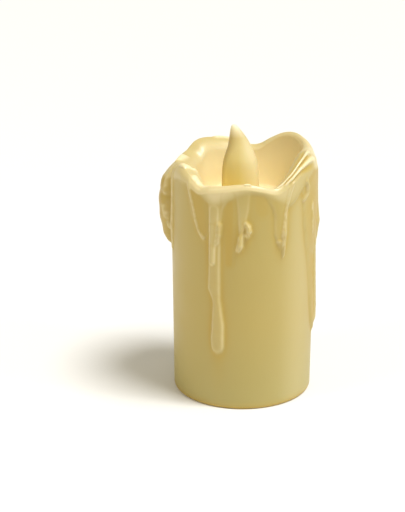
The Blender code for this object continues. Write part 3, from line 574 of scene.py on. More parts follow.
@dataclass(frozen=True)
class CellFinish:
    """A battery cell's plain two-tone sleeve between bare steel ends."""

    name: str
    sleeve: Rgb
    band: Rgb
    low: float
    high: float
    band_low: float
    steel: Rgb = (0.62, 0.62, 0.63)
    wear: float = 0.7

    def build(self) -> Material:
        """Build the material, which changes with height along the cell."""
        sheet = NodeSheet(self.name)
        height = sheet.axes()["Z"]
        colour: object = self.steel
        for level, shade in ((self.low, self.sleeve), (self.band_low, self.band), (self.high, self.steel)):
            colour = sheet.mix(sheet.above(height, level), colour, shade)
        scuff = sheet.noise(700.0, 4.0, (1, 1, 0.2))
        colour = sheet.mix(sheet.scaled(scuff, 0.6, -0.2), colour, tuple(self.wear * v for v in self.sleeve))
        rough = sheet.ramp(scuff, (0.3, 0.22), (0.7, 0.36))
        sheet.shade(Base_Color=colour, Roughness=rough, Metallic=0.75,
                    Normal=sheet.bump(scuff, 0.02 * MM, 0.4))
        return sheet.material


@dataclass(frozen=True)
class BoardFinish:
    """Green solder mask with copper tracks under it and a little mottling."""

    name: str = "solder_mask"
    mask: Rgb = (0.02, 0.16, 0.06)
    track: Rgb = (0.04, 0.25, 0.10)
    mottle: Rgb = (0.015, 0.10, 0.04)

    def build(self) -> Material:
        """Build the material with stepped waves for the tracks."""
        sheet = NodeSheet(self.name)
        wave = sheet.put("ShaderNodeTexWave", {"Vector": sheet.place, "Scale": 130.0, "Distortion": 3.0,
                                               "Detail": 1.0}).outputs["Fac"]
        tracks = sheet.ramp(wave, (0.46, 0.0), (0.5, 1.0), (0.66, 1.0), (0.7, 0.0))
        mottle = sheet.noise(900.0)
        colour = sheet.mix(tracks, self.mask, self.track)
        colour = sheet.mix(sheet.scaled(mottle, 0.4), colour, self.mottle)
        rough = sheet.ramp(mottle, (0.3, 0.28), (0.7, 0.42))
        sheet.shade(Base_Color=colour, Roughness=rough, Normal=sheet.bump(tracks, 0.03 * MM, 0.6))
        return sheet.material


class Body(Enum):
    """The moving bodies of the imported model."""

    CANDLE = "candle"
    DOOR = "door"
    KNOB = "knob"


def fit_out(piece: Piece, surface: Material, slot: str, *nodes: str, body: Body = Body.CANDLE) -> None:
    """Dress a piece, put it on its body and let it stand for its CAD nodes.

    Args:
        piece: the finished mesh object.
        surface: its material.
        slot: the record's material slot; not used.
        nodes: the CAD nodes it stands for.
        body: the body that it moves with.
    """
    dress(piece, surface)
    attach(piece, body.value)
    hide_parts(*nodes)
    LOG.info("%s: %d faces", piece.name, len(piece.data.polygons))


# ---------------------------------------------------------------------- shell


@dataclass(frozen=True)
class Station:
    """A place along a drip: azimuth in degrees; drop below the front lip, half width and bulge in mm."""

    azimuth: float
    drop: float
    half: float
    bulge: float


@dataclass(frozen=True)
class Drip:
    """One run of wax, with the values of its stations in rows.

    Its edges are paler than the wall by `cream_and_highlight`, partly its own creamy tone and partly a
    painted highlight, in full from the drop `fade` in mm down, and its middle is darkened by `drip_shade`, a
    painted shade. The larger `edge` is, the squarer are its shoulders.
    """

    name: str
    rows: tuple[tuple[float, float, float, float], ...]
    cream_and_highlight: float = 0.45
    edge: float = 2.4
    drip_shade: float = 0.0
    fade: float = 14.0

    def spans(self) -> Iterator[tuple[Station, Station]]:
        """Each station with the next one."""
        return pairwise(Station(*row) for row in self.rows)


# In the drip tables, a drip's paleness is partly creamy wax and partly a painted highlight on its edges, and
# its darker tone is painted shade, as under the rim's overhang and in recesses.
FRONT_DRIPS = (
    Drip("long_run", ((-108.2, 1.4, 5.0, 0.25), (-110, 4.2, 3.5, 0.25), (-111.6, 7.1, 2.7, 0.28),
         (-112.2, 13.2, 2.15, 0.5), (-112.6, 29.6, 2.1, 0.8), (-112.8, 36.6, 2.2, 0.9),
         (-110.7, 40.9, 1.35, 0.9), (-110.2, 45, 1.7, 1.0), (-109.7, 50, 2.2, 1.1), (-110, 55, 2.4, 1.2),
         (-110, 58.4, 2.25, 1.2)), edge=3.2, drip_shade=0.15),
    Drip("short_run", ((-112.6, 8, 1.9, 0.7), (-113, 15, 1.8, 1.15), (-113.9, 22.3, 1.3, 1.55),
         (-114, 27.0, 1.15, 1.75)), cream_and_highlight=0.75, edge=2.8),
    Drip("run_knot", ((-108.6, 13.2, 0.95, 1.35), (-108.9, 16.8, 0.85, 1.4), (-110.4, 20, 0.6, 1.2)),
         cream_and_highlight=0.7, fade=8.0),
    Drip("hook_left", ((-90.5, 1.9, 2.6, 0.25), (-90.0, 7, 1.9, 0.22), (-90.8, 12, 1.3, 0.3),
         (-91.3, 16.2, 0.7, 0.8), (-92.0, 17.6, 1.0, 1.4), (-92.6, 20.4, 1.2, 1.75), (-93.6, 21.6, 1.0, 1.4)),
         cream_and_highlight=0.95, fade=24.0),
    Drip("hook_right", ((-88.2, 12.3, 0.6, 0.9), (-86.1, 13.6, 0.85, 1.4), (-85.7, 15.2, 0.95, 1.6),
         (-87.0, 16.8, 0.7, 1.2)), cream_and_highlight=0.95, fade=11.0),
    Drip("hook_link", ((-90.6, 16.6, 0.4, 0.8), (-87.8, 16.4, 0.4, 0.8)), cream_and_highlight=0.7),
    Drip("web", ((-62.2, 2.3, 4.9, 0.45), (-60.5, 6.9, 3.3, 0.5), (-59.8, 10, 2.7, 0.5),
         (-59.6, 17, 2.5, 0.55), (-58.8, 20.2, 1.7, 0.6), (-57.8, 22.8, 0.8, 0.6)), cream_and_highlight=0.2, drip_shade=0.3),
    Drip("web_edge", ((-46.5, -3, 0.7, 0.8), (-52.4, 2.4, 0.65, 0.9), (-54.7, 6.2, 0.6, 0.9),
         (-56.3, 9.2, 0.55, 1.0), (-57.1, 13, 0.55, 1.1), (-57.8, 16.6, 0.95, 1.75),
         (-57.8, 18.2, 0.95, 1.75)), cream_and_highlight=0.95, fade=1.0),
    Drip("web_arm", ((-58.2, 20.2, 0.5, 1.35), (-62.6, 19.6, 0.45, 1.15)), cream_and_highlight=0.8, fade=1.0),
    Drip("web_tail", ((-57.8, 19, 0.65, 1.4), (-57.3, 22.5, 0.6, 1.2), (-57.6, 25.4, 0.4, 0.9)), cream_and_highlight=0.9),
    # Painted shade under the rim's overhang, on a thin sheet of wax.
    Drip("left_curtain", ((-129, 4, 3.8, 0.25), (-126.5, 10, 3.6, 0.25), (-122.5, 16.5, 2.3, 0.25)),
         cream_and_highlight=0.0, edge=4.0, drip_shade=0.8),
    # Two patches of painted shade under the rim, hardly raised.
    Drip("left_stain", ((-101.5, 3, 2.0, 0.03), (-101.5, 12, 2.1, 0.03), (-101, 27, 1.6, 0.03)), cream_and_highlight=0.0,
         drip_shade=0.9, fade=1.0),
    Drip("middle_stain", ((-76, 3, 3.4, 0.03), (-75, 8, 3.0, 0.03)), cream_and_highlight=0.0, drip_shade=0.5, fade=1.0),
    Drip("thin_thread", ((-139.1, -1.3, 1.0, 0.5), (-135.2, 4, 0.6, 0.5), (-131.7, 8.5, 0.55, 0.55),
         (-129.3, 13.1, 0.55, 0.55), (-126.6, 16.6, 0.5, 0.6), (-122.0, 18.9, 0.6, 0.8)), cream_and_highlight=0.9,
         fade=1.0),
)
SIDE_DRIPS = (
    # Painted shade in the lobe's recesses.
    Drip("left_lobe", ((-180, -1, 3.6, 0.8), (-181, 3, 4.6, 2.2), (-182, 7.2, 5.2, 3.8),
         (-182.5, 8.4, 4.9, 3.6), (-183, 11.6, 5.6, 4.5), (-183.5, 17.5, 5.4, 4.3), (-183.5, 23, 4.4, 3.3),
         (-183, 25.6, 3.0, 2.2)), cream_and_highlight=0.05, drip_shade=0.9),
    Drip("lobe_bead_high", ((-172.5, 3.5, 0.6, 2.6), (-173, 8.5, 0.6, 3.2)), cream_and_highlight=0.95, fade=1.0),
    Drip("lobe_bead_low", ((-173.5, 13.0, 0.7, 3.7), (-172.5, 17.5, 0.6, 3.0)), cream_and_highlight=0.95, fade=1.0),
    Drip("left_fold", ((-172, 6.4, 0.7, 1.4), (-178, 7.0, 0.8, 3.6), (-184, 7.4, 0.8, 4.2)), cream_and_highlight=0.7,
         fade=1.0),
    Drip("left_thread", ((-164.5, 0, 0.8, 0.7), (-165.5, 10, 0.7, 0.7), (-167, 20, 0.8, 1.0),
         (-168, 28.5, 0.7, 0.5)), cream_and_highlight=0.9, fade=1.0),
    Drip("left_bead", ((-171.5, 19.4, 0.9, 2.0), (-171.0, 21.2, 0.8, 1.7)), cream_and_highlight=0.8, fade=1.0),
    # Painted shade darkens this sheet.
    Drip("right_sheet", ((-14, 2, 10.4, 0.5), (-13.5, 8, 10.2, 0.65), (-13, 15, 9.8, 0.9),
         (-12, 21, 9.2, 0.8), (-11, 28.5, 7.8, 0.45), (-10, 36.7, 6.6, 0.5), (-8.5, 47, 5.5, 0.7),
         (-7.5, 54, 4.2, 0.8), (-7, 57.5, 2.6, 0.7)), cream_and_highlight=0.1, edge=4.0, drip_shade=0.9, fade=1.0),
    Drip("right_ridge", ((-25, 9.5, 0.7, 1.3), (-24.5, 15, 0.8, 1.5), (-23.5, 20, 0.5, 1.3)), cream_and_highlight=0.8,
         fade=1.0),
    Drip("right_bulge", ((-9, 12, 1.5, 1.2), (-8, 18, 2.0, 1.75), (-7, 24, 1.4, 1.1)), cream_and_highlight=0.3, fade=1.0),
    Drip("right_run", ((-15, 24, 1.2, 1.1), (-12, 38, 1.2, 1.25), (-8, 50, 1.6, 1.5), (-7, 55, 1.8, 1.5)),
         cream_and_highlight=0.5, fade=1.0),
    Drip("right_curl", ((-34.5, 0.4, 0.7, 1.4), (-32.2, 2.3, 0.8, 1.5), (-33.0, 5, 0.75, 1.4),
         (-37, 6.8, 0.6, 1.1)), cream_and_highlight=0.8, fade=1.0),
)
BACK_DRIPS = (
    Drip("back_run_1", ((24, -3, 4.4, 0.7), (26, 8, 2.4, 0.9), (27, 26, 2.0, 1.0), (27, 34, 2.3, 1.2))),
    Drip("back_run_2", ((52, -3, 3.6, 0.6), (54, 8, 2.0, 0.8), (53, 15, 1.8, 1.1))),
    Drip("back_run_3", ((92, 0, 5.4, 0.6), (90, 8, 2.9, 0.9), (89, 24, 2.1, 1.0), (90, 44, 2.5, 1.2))),
    Drip("back_run_4", ((116, -2, 4.0, 0.6), (118, 9, 2.1, 0.8), (118, 20, 2.0, 1.1))),
    Drip("back_run_5", ((150, -1, 4.4, 0.6), (148, 9, 2.4, 0.9), (147, 30, 2.2, 1.1))),
)

# What changes round the candle: azimuth, then
# the crest's rise above the mean height of the front lip, in mm
RIM_CREST: Table = (
    (-165, 2.6), (-151, 3.1), (-140, 1.9), (-132, -0.2), (-126, -1.4), (-118, -0.6), (-103, 0.3), (-88, 1.2),
    (-75, 0.2), (-63, -0.8), (-52, 2.0), (-39, 5.9), (-24, 8.0), (-5, 7.3), (14, 6.4), (30, 7.4), (43, 8.1),
    (55, 7.1), (67, 4.5), (77, 1.9), (86, 1.6), (96, 3.2), (110, 4.4), (128, 5.3), (138, 4.7), (147, 2.7),
    (158, 2.1), (176, 1.6),
)
# the drop of the lower edge of the sheet of wax under the rim, below the front lip, in mm
SHEET_EDGE: Table = (
    (-165, 0.6), (-150, 1.0), (-139, 1.5), (-130, 3.0), (-122, 4.4), (-113, 7.2), (-104, 5.2), (-92, 2.5),
    (-81, 1.9), (-71, 3.3), (-61, 6.0), (-51, 7.6), (-42, 4.4), (-30, 0.0), (-15, -2.5), (10, -1.0),
    (30, -3.0), (50, -4.0), (70, 1.0), (90, 3.0), (110, 0.0), (130, -1.0), (150, 2.0), (170, 1.2),
)
# the height of the rounding from the wall to the crest, in mm
LIP_ROUND: Table = (
    (-165, 5.2), (-145, 3.6), (-122, 2.2), (-95, 1.6), (-65, 1.8), (-48, 2.6), (-34, 4.2), (-15, 6.6),
    (2, 6.4), (22, 3.0), (45, 1.7), (70, 2.0), (110, 2.8), (150, 4.2), (175, 5.4),
)
# the width of the rim's top, in mm
RIM_WIDTH: Table = (
    (-165, 5.6), (-140, 5.2), (-122, 3.2), (-95, 2.2), (-65, 2.6), (-40, 3.4), (-15, 3.8), (5, 3.6),
    (30, 1.5), (70, 2.2), (110, 4.2), (150, 5.6),
)
# the fall of the rim's top towards the well, in mm
RIM_FALL: Table = (
    (-165, 4.2), (-140, 3.8), (-122, 2.2), (-95, 1.2), (-65, 1.6), (-40, 3.2), (-15, 4.4), (5, 4.2),
    (30, 2.0), (70, 2.2), (110, 3.8), (150, 4.6),
)
# the paleness of the rim's top, from 0 to 1: partly its creamy colour and partly painted light
RIM_PALENESS: Table = (
    (-165, 0.40), (-140, 0.42), (-122, 0.60), (-95, 0.62), (-68, 0.55), (-50, 0.30), (-25, 0.22), (-5, 0.75),
    (15, 0.70), (40, 0.45), (80, 0.40), (110, 0.30), (150, 0.30),
)
# the painted sheen on the wall, strongest on the front-right, which makes it paler, from 0 to 1
PAINTED_SHEEN: Table = (
    (-140, 0.0), (-90, 0.0), (-72, 0.02), (-60, 0.05), (-50, 0.13), (-40, 0.18), (-30, 0.15), (-10, 0.05),
    (30, 0.04), (90, 0.06), (150, 0.02),
)


@dataclass(frozen=True)
class RimBead:
    """A raised cord of wax along the rim, or a groove if its height is negative, between two azimuths.

    Its place across the rim and its half width count in guide points, 0 at the shoulder and 3 on the crest;
    its height is in mm.
    """

    start: float
    end: float
    across: Pair
    height: float
    half: float


RIM_BEADS = (
    RimBead(-57, -14, (1.4, 1.2), 0.80, 0.42), RimBead(-64, -14, (2.6, 2.3), 0.85, 0.44),
    RimBead(-58, -16, (2.0, 1.75), -0.45, 0.40), RimBead(-56, -18, (3.3, 3.0), -0.30, 0.40),
    RimBead(-54, -20, (0.7, 0.6), -0.35, 0.45), RimBead(-139, -118, (3.5, 3.6), 0.65, 0.55),
    RimBead(-160, -148, (3.0, 3.4), 0.9, 0.8), RimBead(-150, -146, (4.2, 4.4), 0.7, 0.6),
    RimBead(-90, -84, (2.4, 2.4), 0.5, 0.7), RimBead(-116, -92, (3.0, 3.0), 0.25, 0.5),
    RimBead(96, 118, (2.4, 2.8), 0.5, 0.7), RimBead(160, 176, (3.2, 2.6), 0.6, 0.8),
)


@dataclass
class CandleShell:
    """The one-piece wax-look shell: outer wall with its drips, rim, well and hollow inside."""

    finish: WaxFinish = WaxFinish()
    radius: float = 24.85 * MM
    draft: float = math.radians(0.5)
    lip_height: float = 82.0 * MM
    wall: float = 2.2 * MM
    deck_top: float = 69.0 * MM
    deck_under: float = 67.0 * MM
    deck_bend: float = 3.0 * MM
    bottom_edge: float = 0.9 * MM
    plain_heights: Pair = (1.6 * MM, 17.0 * MM)
    plain_rows: int = 10
    wall_rows: int = 132
    row_spread: float = 0.85
    well_inset: float = 6.4 * MM
    hole_x: float = -1.1 * MM
    hole_half: Pair = (6.9 * MM, 5.98 * MM)
    blend: float = 0.35 * MM
    # Width of the painted shade just outside each drip.
    outline: float = 0.35 * MM
    sheet_thickness: float = 0.5 * MM
    sheet_edge: float = 1.3 * MM
    columns: int = 456
    column_spread: Table = ((0.0, -200.0), (0.70, -8.0), (1.0, 160.0))
    drips: tuple[Drip, ...] = FRONT_DRIPS + SIDE_DRIPS + BACK_DRIPS
    rim_steps: int = 6
    lip_reach: float = 2.8 * MM
    lip_fade: Pair = (1.5 * MM, 6.0 * MM)
    # The next fields size the painted shade in hollows, round the drips, in grooves and on the well's back
    # wall, and the painted highlight on the beads.
    hollow_blur: int = 14
    hollow_depth: float = 0.25 * MM
    hollow_start: int = 16
    halo_blur: int = 60
    halo_depth: float = 0.30 * MM
    halo_lift: float = 0.2 * MM
    bead_highlight_lift: float = 0.30 * MM
    groove_depth: float = 0.35 * MM
    back_wall_azimuth: float = 35.0
    azimuths: Array = field(init=False)

    def __post_init__(self) -> None:
        """Work out the azimuth of each column."""
        share, azimuth = zip(*self.column_spread)
        self.azimuths = np.interp(np.arange(self.columns) / self.columns, share, azimuth)

    def around(self, table: Table) -> Array:
        """A ring table's value at each column."""
        return ring_table(self.azimuths, table)

    def drip_fields(self, heights: Array) -> tuple[Array, Array, Array]:
        """How far the drips stand out, and their tones.

        Args:
            heights: the height of each place, of shape (rows, columns).

        Returns:
            The bulge in metres, the paleness, partly a painted highlight, and the painted shade from 0 to 1,
            all of that shape.
        """
        bulge = self.lip_sheet(heights)
        cream_and_highlight = np.zeros_like(heights)
        drip_shade = np.zeros_like(heights)
        drop = self.lip_height - heights
        for run in self.drips:
            full = np.clip(drop / (run.fade * MM), 0.15, 1)
            for start, end in run.spans():
                turn = (self.azimuths - start.azimuth + 180) % 360 - 180
                along = np.radians(turn)[None, :] * self.radius
                side = math.radians(end.azimuth - start.azimuth) * self.radius
                fall = (end.drop - start.drop) * MM
                below = drop - start.drop * MM
                t = np.clip((along * side + below * fall) / (side**2 + fall**2), 0, 1)
                off = np.hypot(along - t * side, below - t * fall)
                half = (start.half + (end.half - start.half) * t) * MM
                height = (start.bulge + (end.bulge - start.bulge) * t) * MM
                share = np.clip(off / half, 0, 1)
                lift = height * np.sqrt(1 - share**run.edge)
                # Painted highlight along each drip's edge, over its creamy tone.
                edge_highlight = np.clip(1 - np.abs(share - 0.80) / 0.20, 0, 1)
                # Painted shade in a thin outline just outside each drip.
                outline_shade = np.clip(1 - np.abs(off - half - self.outline) / self.outline, 0, 1)
                higher = lift > bulge
                cream_and_highlight = np.where(higher, run.cream_and_highlight * full * (0.3 + 0.75 * edge_highlight), cream_and_highlight)
                # Painted shade in each drip's middle and beside it.
                drip_shade = np.where(higher, run.drip_shade * (1 - share**4), drip_shade)
                drip_shade = np.maximum(drip_shade, 0.8 * outline_shade * full * max(run.cream_and_highlight, run.drip_shade) * (lift <= 0))
                bulge = smooth_union(bulge, lift, self.blend)
        return bulge, cream_and_highlight, drip_shade

    def lip_sheet(self, heights: Array) -> Array:
        """How far the sheet of wax under the rim stands out, down to its scalloped lower edge."""
        edge = self.lip_height - self.around(SHEET_EDGE) * MM
        above = np.clip((heights - edge[None, :]) / self.sheet_edge, 0, 1)
        return self.sheet_thickness * np.sqrt(1 - (1 - above)**2)

    def outer_radius(self, heights: Array) -> Array:
        """Radius of the plain wall at a height."""
        return self.radius + heights * math.tan(self.draft)

    def outer_rows(self) -> tuple[Array, ...]:
        """The outer wall.

        Returns:
            Its radii, heights, bulge, paleness (partly a painted highlight) and painted shade, each of shape
            (rows, columns).
        """
        rim = self.rim_heights()
        shoulder = rim - self.around(LIP_ROUND) * MM
        low = np.array([0.0, 0.15, 0.5, 1.0]) * self.bottom_edge
        plain = np.linspace(*self.plain_heights, self.plain_rows)
        steps = np.linspace(0, 1, self.wall_rows + 1)[1:]**self.row_spread
        heights = np.concatenate([
            np.repeat(np.concatenate([low, plain])[:, None], self.columns, axis=1),
            plain[-1] + (shoulder - plain[-1])[None, :] * steps[:, None],
        ])
        bulge, cream_and_highlight, drip_shade = self.drip_fields(heights)
        bulge = blur_rows(bulge, 2)
        rounding = np.sqrt(np.clip(1 - (1 - np.clip(heights / self.bottom_edge, 0, 1))**2, 0, 1))
        radii = self.outer_radius(heights) + bulge - self.bottom_edge * (1 - rounding)
        return radii, heights, bulge, cream_and_highlight, drip_shade

    def rim_heights(self) -> Array:
        """Height of the crest at each column."""
        return self.lip_height + self.around(RIM_CREST) * MM

    def inner_rows(self, top_radii: Array) -> tuple[Array, Array, Array]:
        """The rim, the well's wall and the deck.

        Args:
            top_radii: the outer wall's radius at its top row.

        Returns:
            Radii, heights and the beads' lift, of shape (rows, columns), from the shoulder to the deck.
        """
        rim = self.rim_heights()
        plain = self.outer_radius(rim)
        width = self.around(RIM_WIDTH) * MM
        fall = self.around(RIM_FALL) * MM
        lip = self.around(LIP_ROUND) * MM
        near = np.minimum(lip, self.lip_reach)
        inner = plain - width - 0.55 * (lip - near)
        wall = np.minimum(plain - self.well_inset, inner - 0.8 * near)
        deck = np.full_like(rim, self.deck_top)
        rise = rim - fall - deck
        bend = self.deck_bend
        guide = np.array([  # radius and height of each point from the shoulder to the deck
            [top_radii, rim - lip],
            [plain + 0.45 * (top_radii - plain) - 0.10 * lip, rim - 0.45 * lip],
            [plain + 0.15 * (top_radii - plain) - 0.32 * lip, rim - 0.10 * lip],
            [plain - 0.55 * lip, rim],
            [inner + 0.45 * width - 0.5 * near, rim - 0.22 * fall],
            [inner - 0.4 * near, rim - 0.62 * fall],
            [inner - 0.62 * near, rim - fall - 0.6 * MM],
            [0.5 * (inner - 0.7 * near) + 0.5 * wall, deck + 0.55 * rise],
            [wall, deck + bend],
            [wall - 0.30 * bend, deck + 0.30 * bend],
            [wall - bend, deck + 0.03 * bend],
            [wall - 1.6 * bend, deck],
        ])
        curve = catmull(np.moveaxis(guide, 2, 1), self.rim_steps)
        along = np.gradient(curve, axis=0)
        along /= np.maximum(np.linalg.norm(along, axis=2, keepdims=True), 1e-9)
        lift = self.bead_lift(len(curve))
        curve[:, :, 0] += along[:, :, 1] * lift
        curve[:, :, 1] -= along[:, :, 0] * lift
        return curve[1:, :, 0], curve[1:, :, 1], lift[1:]

    def bead_lift(self, rows: int) -> Array:
        """How far the rim's beads stand up, in metres, for each row and column of the rim."""
        across = np.arange(rows)[:, None] / self.rim_steps
        lift = np.zeros((rows, self.columns))
        for bead in RIM_BEADS:
            middle, reach = (bead.start + bead.end) / 2, (bead.end - bead.start) / 2
            turn = ((self.azimuths - middle + 180) % 360 - 180) / reach
            centre = bead.across[0] + (bead.across[1] - bead.across[0]) * (turn + 1) / 2
            ends = np.sqrt(np.clip(1 - turn**4, 0, 1))
            hump = np.clip(1 - ((across - centre[None, :]) / bead.half)**2, 0, 1)**0.8
            raised = bead.height * MM * ends[None, :] * hump
            lift = np.where(np.abs(raised) > np.abs(lift), raised, lift)
        return blur_rows(lift, 1)

    def build(self) -> None:
        """Model the shell and dress it."""
        out_radii, out_heights, bulge, cream_and_highlight, drip_shade = self.outer_rows()
        in_radii, in_heights, bead = self.inner_rows(out_radii[-1])
        radii = np.concatenate([out_radii, in_radii])
        heights = np.concatenate([out_heights, in_heights])
        across, along = np.cos(np.radians(self.azimuths)), np.sin(np.radians(self.azimuths))
        grid = np.stack([radii * across, radii * along, heights], axis=2)
        level = np.ones_like(across)
        hole = np.stack([self.hole_x + self.hole_half[0] * across, self.hole_half[1] * along,
                         self.deck_top * level], axis=1)
        hole_under = hole - np.array([0, 0, self.deck_top - self.deck_under])
        cavity = self.radius - self.wall
        round_cavity = np.stack([cavity * across, cavity * along, self.deck_under * level], axis=1)
        foot = round_cavity * np.array([1, 1, 0])
        grid = np.concatenate([grid, np.stack([hole, hole_under, round_cavity, foot])])
        shell, row, column = self.sheet(len(grid))
        put_points(shell, grid[row, column])
        for name, mask in self.masks(grid, bulge, cream_and_highlight, drip_shade, bead).items():
            add_attribute(shell, name, mask[row, column])
        tidy_mesh(shell)
        shade_smooth(shell, 60)
        name_piece(shell, "wax_shell")
        fit_out(shell, self.finish.build(), "wax_plastic", "candle_shell")

    def sheet(self, rows: int) -> tuple[Piece, Array, Array]:
        """A flat gridded sheet, to be rolled up into the shell.

        Args:
            rows: how many rows the shell's section has.

        Returns:
            The sheet, and the row and the column of each of its points; the last row and column lie on the
            first ones once it is rolled up.
        """
        deselect_all()
        bpy.ops.mesh.primitive_grid_add(x_subdivisions=self.columns, y_subdivisions=rows, size=2.0)
        made = bpy.context.object
        flat = mesh_points(made)
        column = np.rint((flat[:, 0] + 1) / 2 * self.columns).astype(int) % self.columns
        row = np.rint((flat[:, 1] + 1) / 2 * rows).astype(int) % rows
        return made, row, column

    def masks(self, grid: Array, bulge: Array, cream_and_highlight: Array, drip_shade: Array, bead: Array) -> dict[str, Array]:
        """How pale each place is, with its painted highlights and painted sheen, and how much painted shade
        it gets; depth into the well counts in guide points.

        Args:
            grid: the shell's points, of shape (rows, columns, 3).
            bulge: how far the outer wall's drips stand out.
            cream_and_highlight: the outer wall's paleness, partly a painted highlight.
            drip_shade: the outer wall's painted shade from the drips.
            bead: how far the rim's beads stand up.

        Returns:
            The masks by name, each from 0 to 1 and of shape (rows, columns).
        """
        radii = np.hypot(grid[..., 0], grid[..., 1])
        rows = len(cream_and_highlight)
        rim = slice(rows, rows + len(bead))
        pale, painted_shade = np.ones(radii.shape), np.zeros(radii.shape)
        paleness = self.around(RIM_PALENESS)[None, :]
        painted_sheen = self.around(PAINTED_SHEEN)[None, :]
        edge = self.lip_height - self.around(SHEET_EDGE) * MM
        low, reach = self.lip_fade
        lip = np.clip((grid[:rows, :, 2] - edge[None, :] + low) / reach, 0, 1)
        lip = lip * lip * (3 - 2 * lip)
        # Painted shade in the outer wall's hollows.
        hollow = np.clip((blur_rows(radii, self.hollow_blur) - radii) / self.hollow_depth, 0, 1)[:rows]
        hollow[-2:] = 0
        hollow[:self.hollow_start] = 0
        # Painted shade round the drips, under the lip.
        halo_shade = (np.clip(blur_rows(bulge, self.halo_blur) / self.halo_depth, 0, 1)
                * np.clip(1 - bulge / self.halo_lift, 0, 1))
        # Paleness of the outer wall: the drips' creamy tone with painted highlights on their edges, the rim's
        # roll-over, partly creamy and partly a painted highlight, and a painted sheen on the front-right.
        pale[:rows] = np.maximum.reduce([cream_and_highlight, paleness * lip, np.broadcast_to(painted_sheen, cream_and_highlight.shape)])
        # Painted shade: in hollows, round, beside and in the drips, and under the rim.
        painted_shade[:rows] = np.maximum.reduce([0.7 * hollow, 0.9 * halo_shade * (1 - lip), drip_shade * (1 - 0.8 * lip)])
        # Painted shade along the bottom edge, where the candle meets the floor.
        painted_shade[:4] = 1.0
        depth = np.arange(len(bead))[:, None] / self.rim_steps
        inside = np.clip((depth - 3.5) / 3.0, 0, 1)
        # The well's wall is paler, partly its creamy colour and partly painted light; the beads get a painted
        # highlight.
        pale[rim] = np.maximum(paleness + (1 - paleness) * inside, np.clip(bead / self.bead_highlight_lift, 0, 1))
        # Painted shade in a band high on the well's back wall, and in the rim's grooves.
        turn = np.radians(self.azimuths - self.back_wall_azimuth)
        back_wall = np.clip(2.2 * np.cos(turn) - 1.3, 0, 1)[None, :]
        band = np.clip((depth - 4.0) / 1.2, 0, 1) * np.clip((8.2 - depth) / 2.2, 0, 1)
        painted_shade[rim] = np.maximum(0.4 * band * back_wall, np.clip(-bead / self.groove_depth, 0, 0.85))
        return {"cream_and_highlight": np.clip(blur_rows(pale, 1), 0, 1), "painted_shade": blur_rows(painted_shade, 1)}


# ---------------------------------------------------------------------- flame


@dataclass
class FlameLens:
    """The hollow leaf-shaped flame with its flange under the deck."""

    finish: FlameFinish = FlameFinish()
    foot: float = 69.0 * MM
    height: float = 28.6 * MM
    half_width: float = 6.6 * MM
    depth_share: float = 0.86
    blunting: float = 0.2 * MM
    wall: float = 1.3 * MM
    foot_x: float = -1.1 * MM
    flange: Triple = (8.8 * MM, 65.3 * MM, 66.7 * MM)
    sides: int = 64
    steps: int = 5
    sections: tuple[Triple, ...] = (
        (0.0, -1.1, 1.0), (0.22, -1.15, 0.995), (0.36, -1.2, 0.98), (0.46, -1.25, 0.945),
        (0.55, -1.3, 0.88), (0.62, -1.35, 0.79), (0.69, -1.4, 0.68), (0.76, -1.7, 0.57),
        (0.82, -2.05, 0.475), (0.88, -2.55, 0.37), (0.94, -3.1, 0.25), (0.98, -3.45, 0.145),
    )
    tip_x: float = -3.55 * MM

    def build(self) -> None:
        """Model the lens and dress it."""
        deselect_all()
        radius, low, high = self.flange
        bpy.ops.mesh.primitive_circle_add(vertices=self.sides, radius=radius, fill_type="NOTHING",
                                          location=(self.foot_x, 0, low))
        lens = bpy.context.object
        settle(lens)
        edit_all()
        lift_ring(Vector((0, 0, high - low)))
        lift_ring(Vector((0, 0, 0)))
        scale_picked(self.half_width / radius, self.half_width * self.depth_share / radius,
                     Vector((self.foot_x, 0, high)))
        before = (self.foot_x, high, self.half_width)
        tip = (self.tip_x, self.foot + self.height - self.blunting, 0.06 * self.half_width)
        places = [(centre * MM, self.foot + share * self.height, self.half_width * width)
                  for share, centre, width in catmull(np.array(self.sections), self.steps)]
        for x, z, half in [*places, tip]:
            lift_ring(Vector((x - before[0], 0, z - before[1])))
            scale_picked(half / before[2], half / before[2], Vector((x, 0, z)))
            before = (x, z, half)
        bpy.ops.mesh.edge_face_add()
        bpy.ops.mesh.poke()
        self.hollow(lens)
        shade_smooth(lens, 50)
        name_piece(lens, "flame")
        fit_out(lens, self.finish.build(), "flame_lens", "flame_lens")

    def hollow(self, lens: Piece) -> None:
        """Give the lens its wall thickness and weld its seams."""
        tidy_mesh(lens)
        thick = lens.modifiers.new("wall", "SOLIDIFY")
        thick.thickness = self.wall
        thick.offset = -1
        apply_modifiers(lens)


# ------------------------------------------------------------ inside and under


@dataclass(frozen=True)
class NeatCopy:
    """A CAD node copied as a clean mesh, with its hard edges rounded as a mould or a press leaves them."""

    node: str
    name: str
    slot: str
    finish: PlainFinish | BoardFinish
    edge: float = 0.0
    body: Body = Body.CANDLE
    smooth: float = 40.0
    flatness: float = math.radians(0.5)
    sharp: float = math.radians(50)

    def build(self, nodes: dict[str, Piece]) -> None:
        """Copy the node, merge it, round its edges and dress it."""
        piece = bpy.data.objects.new(self.name, nodes[self.node].data.copy())
        bpy.context.scene.collection.objects.link(piece)
        name_piece(piece, self.name)
        for layer in list(piece.data.uv_layers):
            piece.data.uv_layers.remove(layer)
        tidy_mesh(piece)
        edit_all()
        bpy.ops.mesh.dissolve_limited(angle_limit=self.flatness)
        bpy.ops.object.mode_set(mode="OBJECT")
        if self.edge:
            bevel = piece.modifiers.new("edges", "BEVEL")
            bevel.width = self.edge
            bevel.segments = 3
            bevel.limit_method = "ANGLE"
            bevel.angle_limit = self.sharp
            bevel.use_clamp_overlap = True
            apply_modifiers(piece)
        shade_smooth(piece, self.smooth)
        fit_out(piece, self.finish.build(), self.slot, self.node, body=self.body)


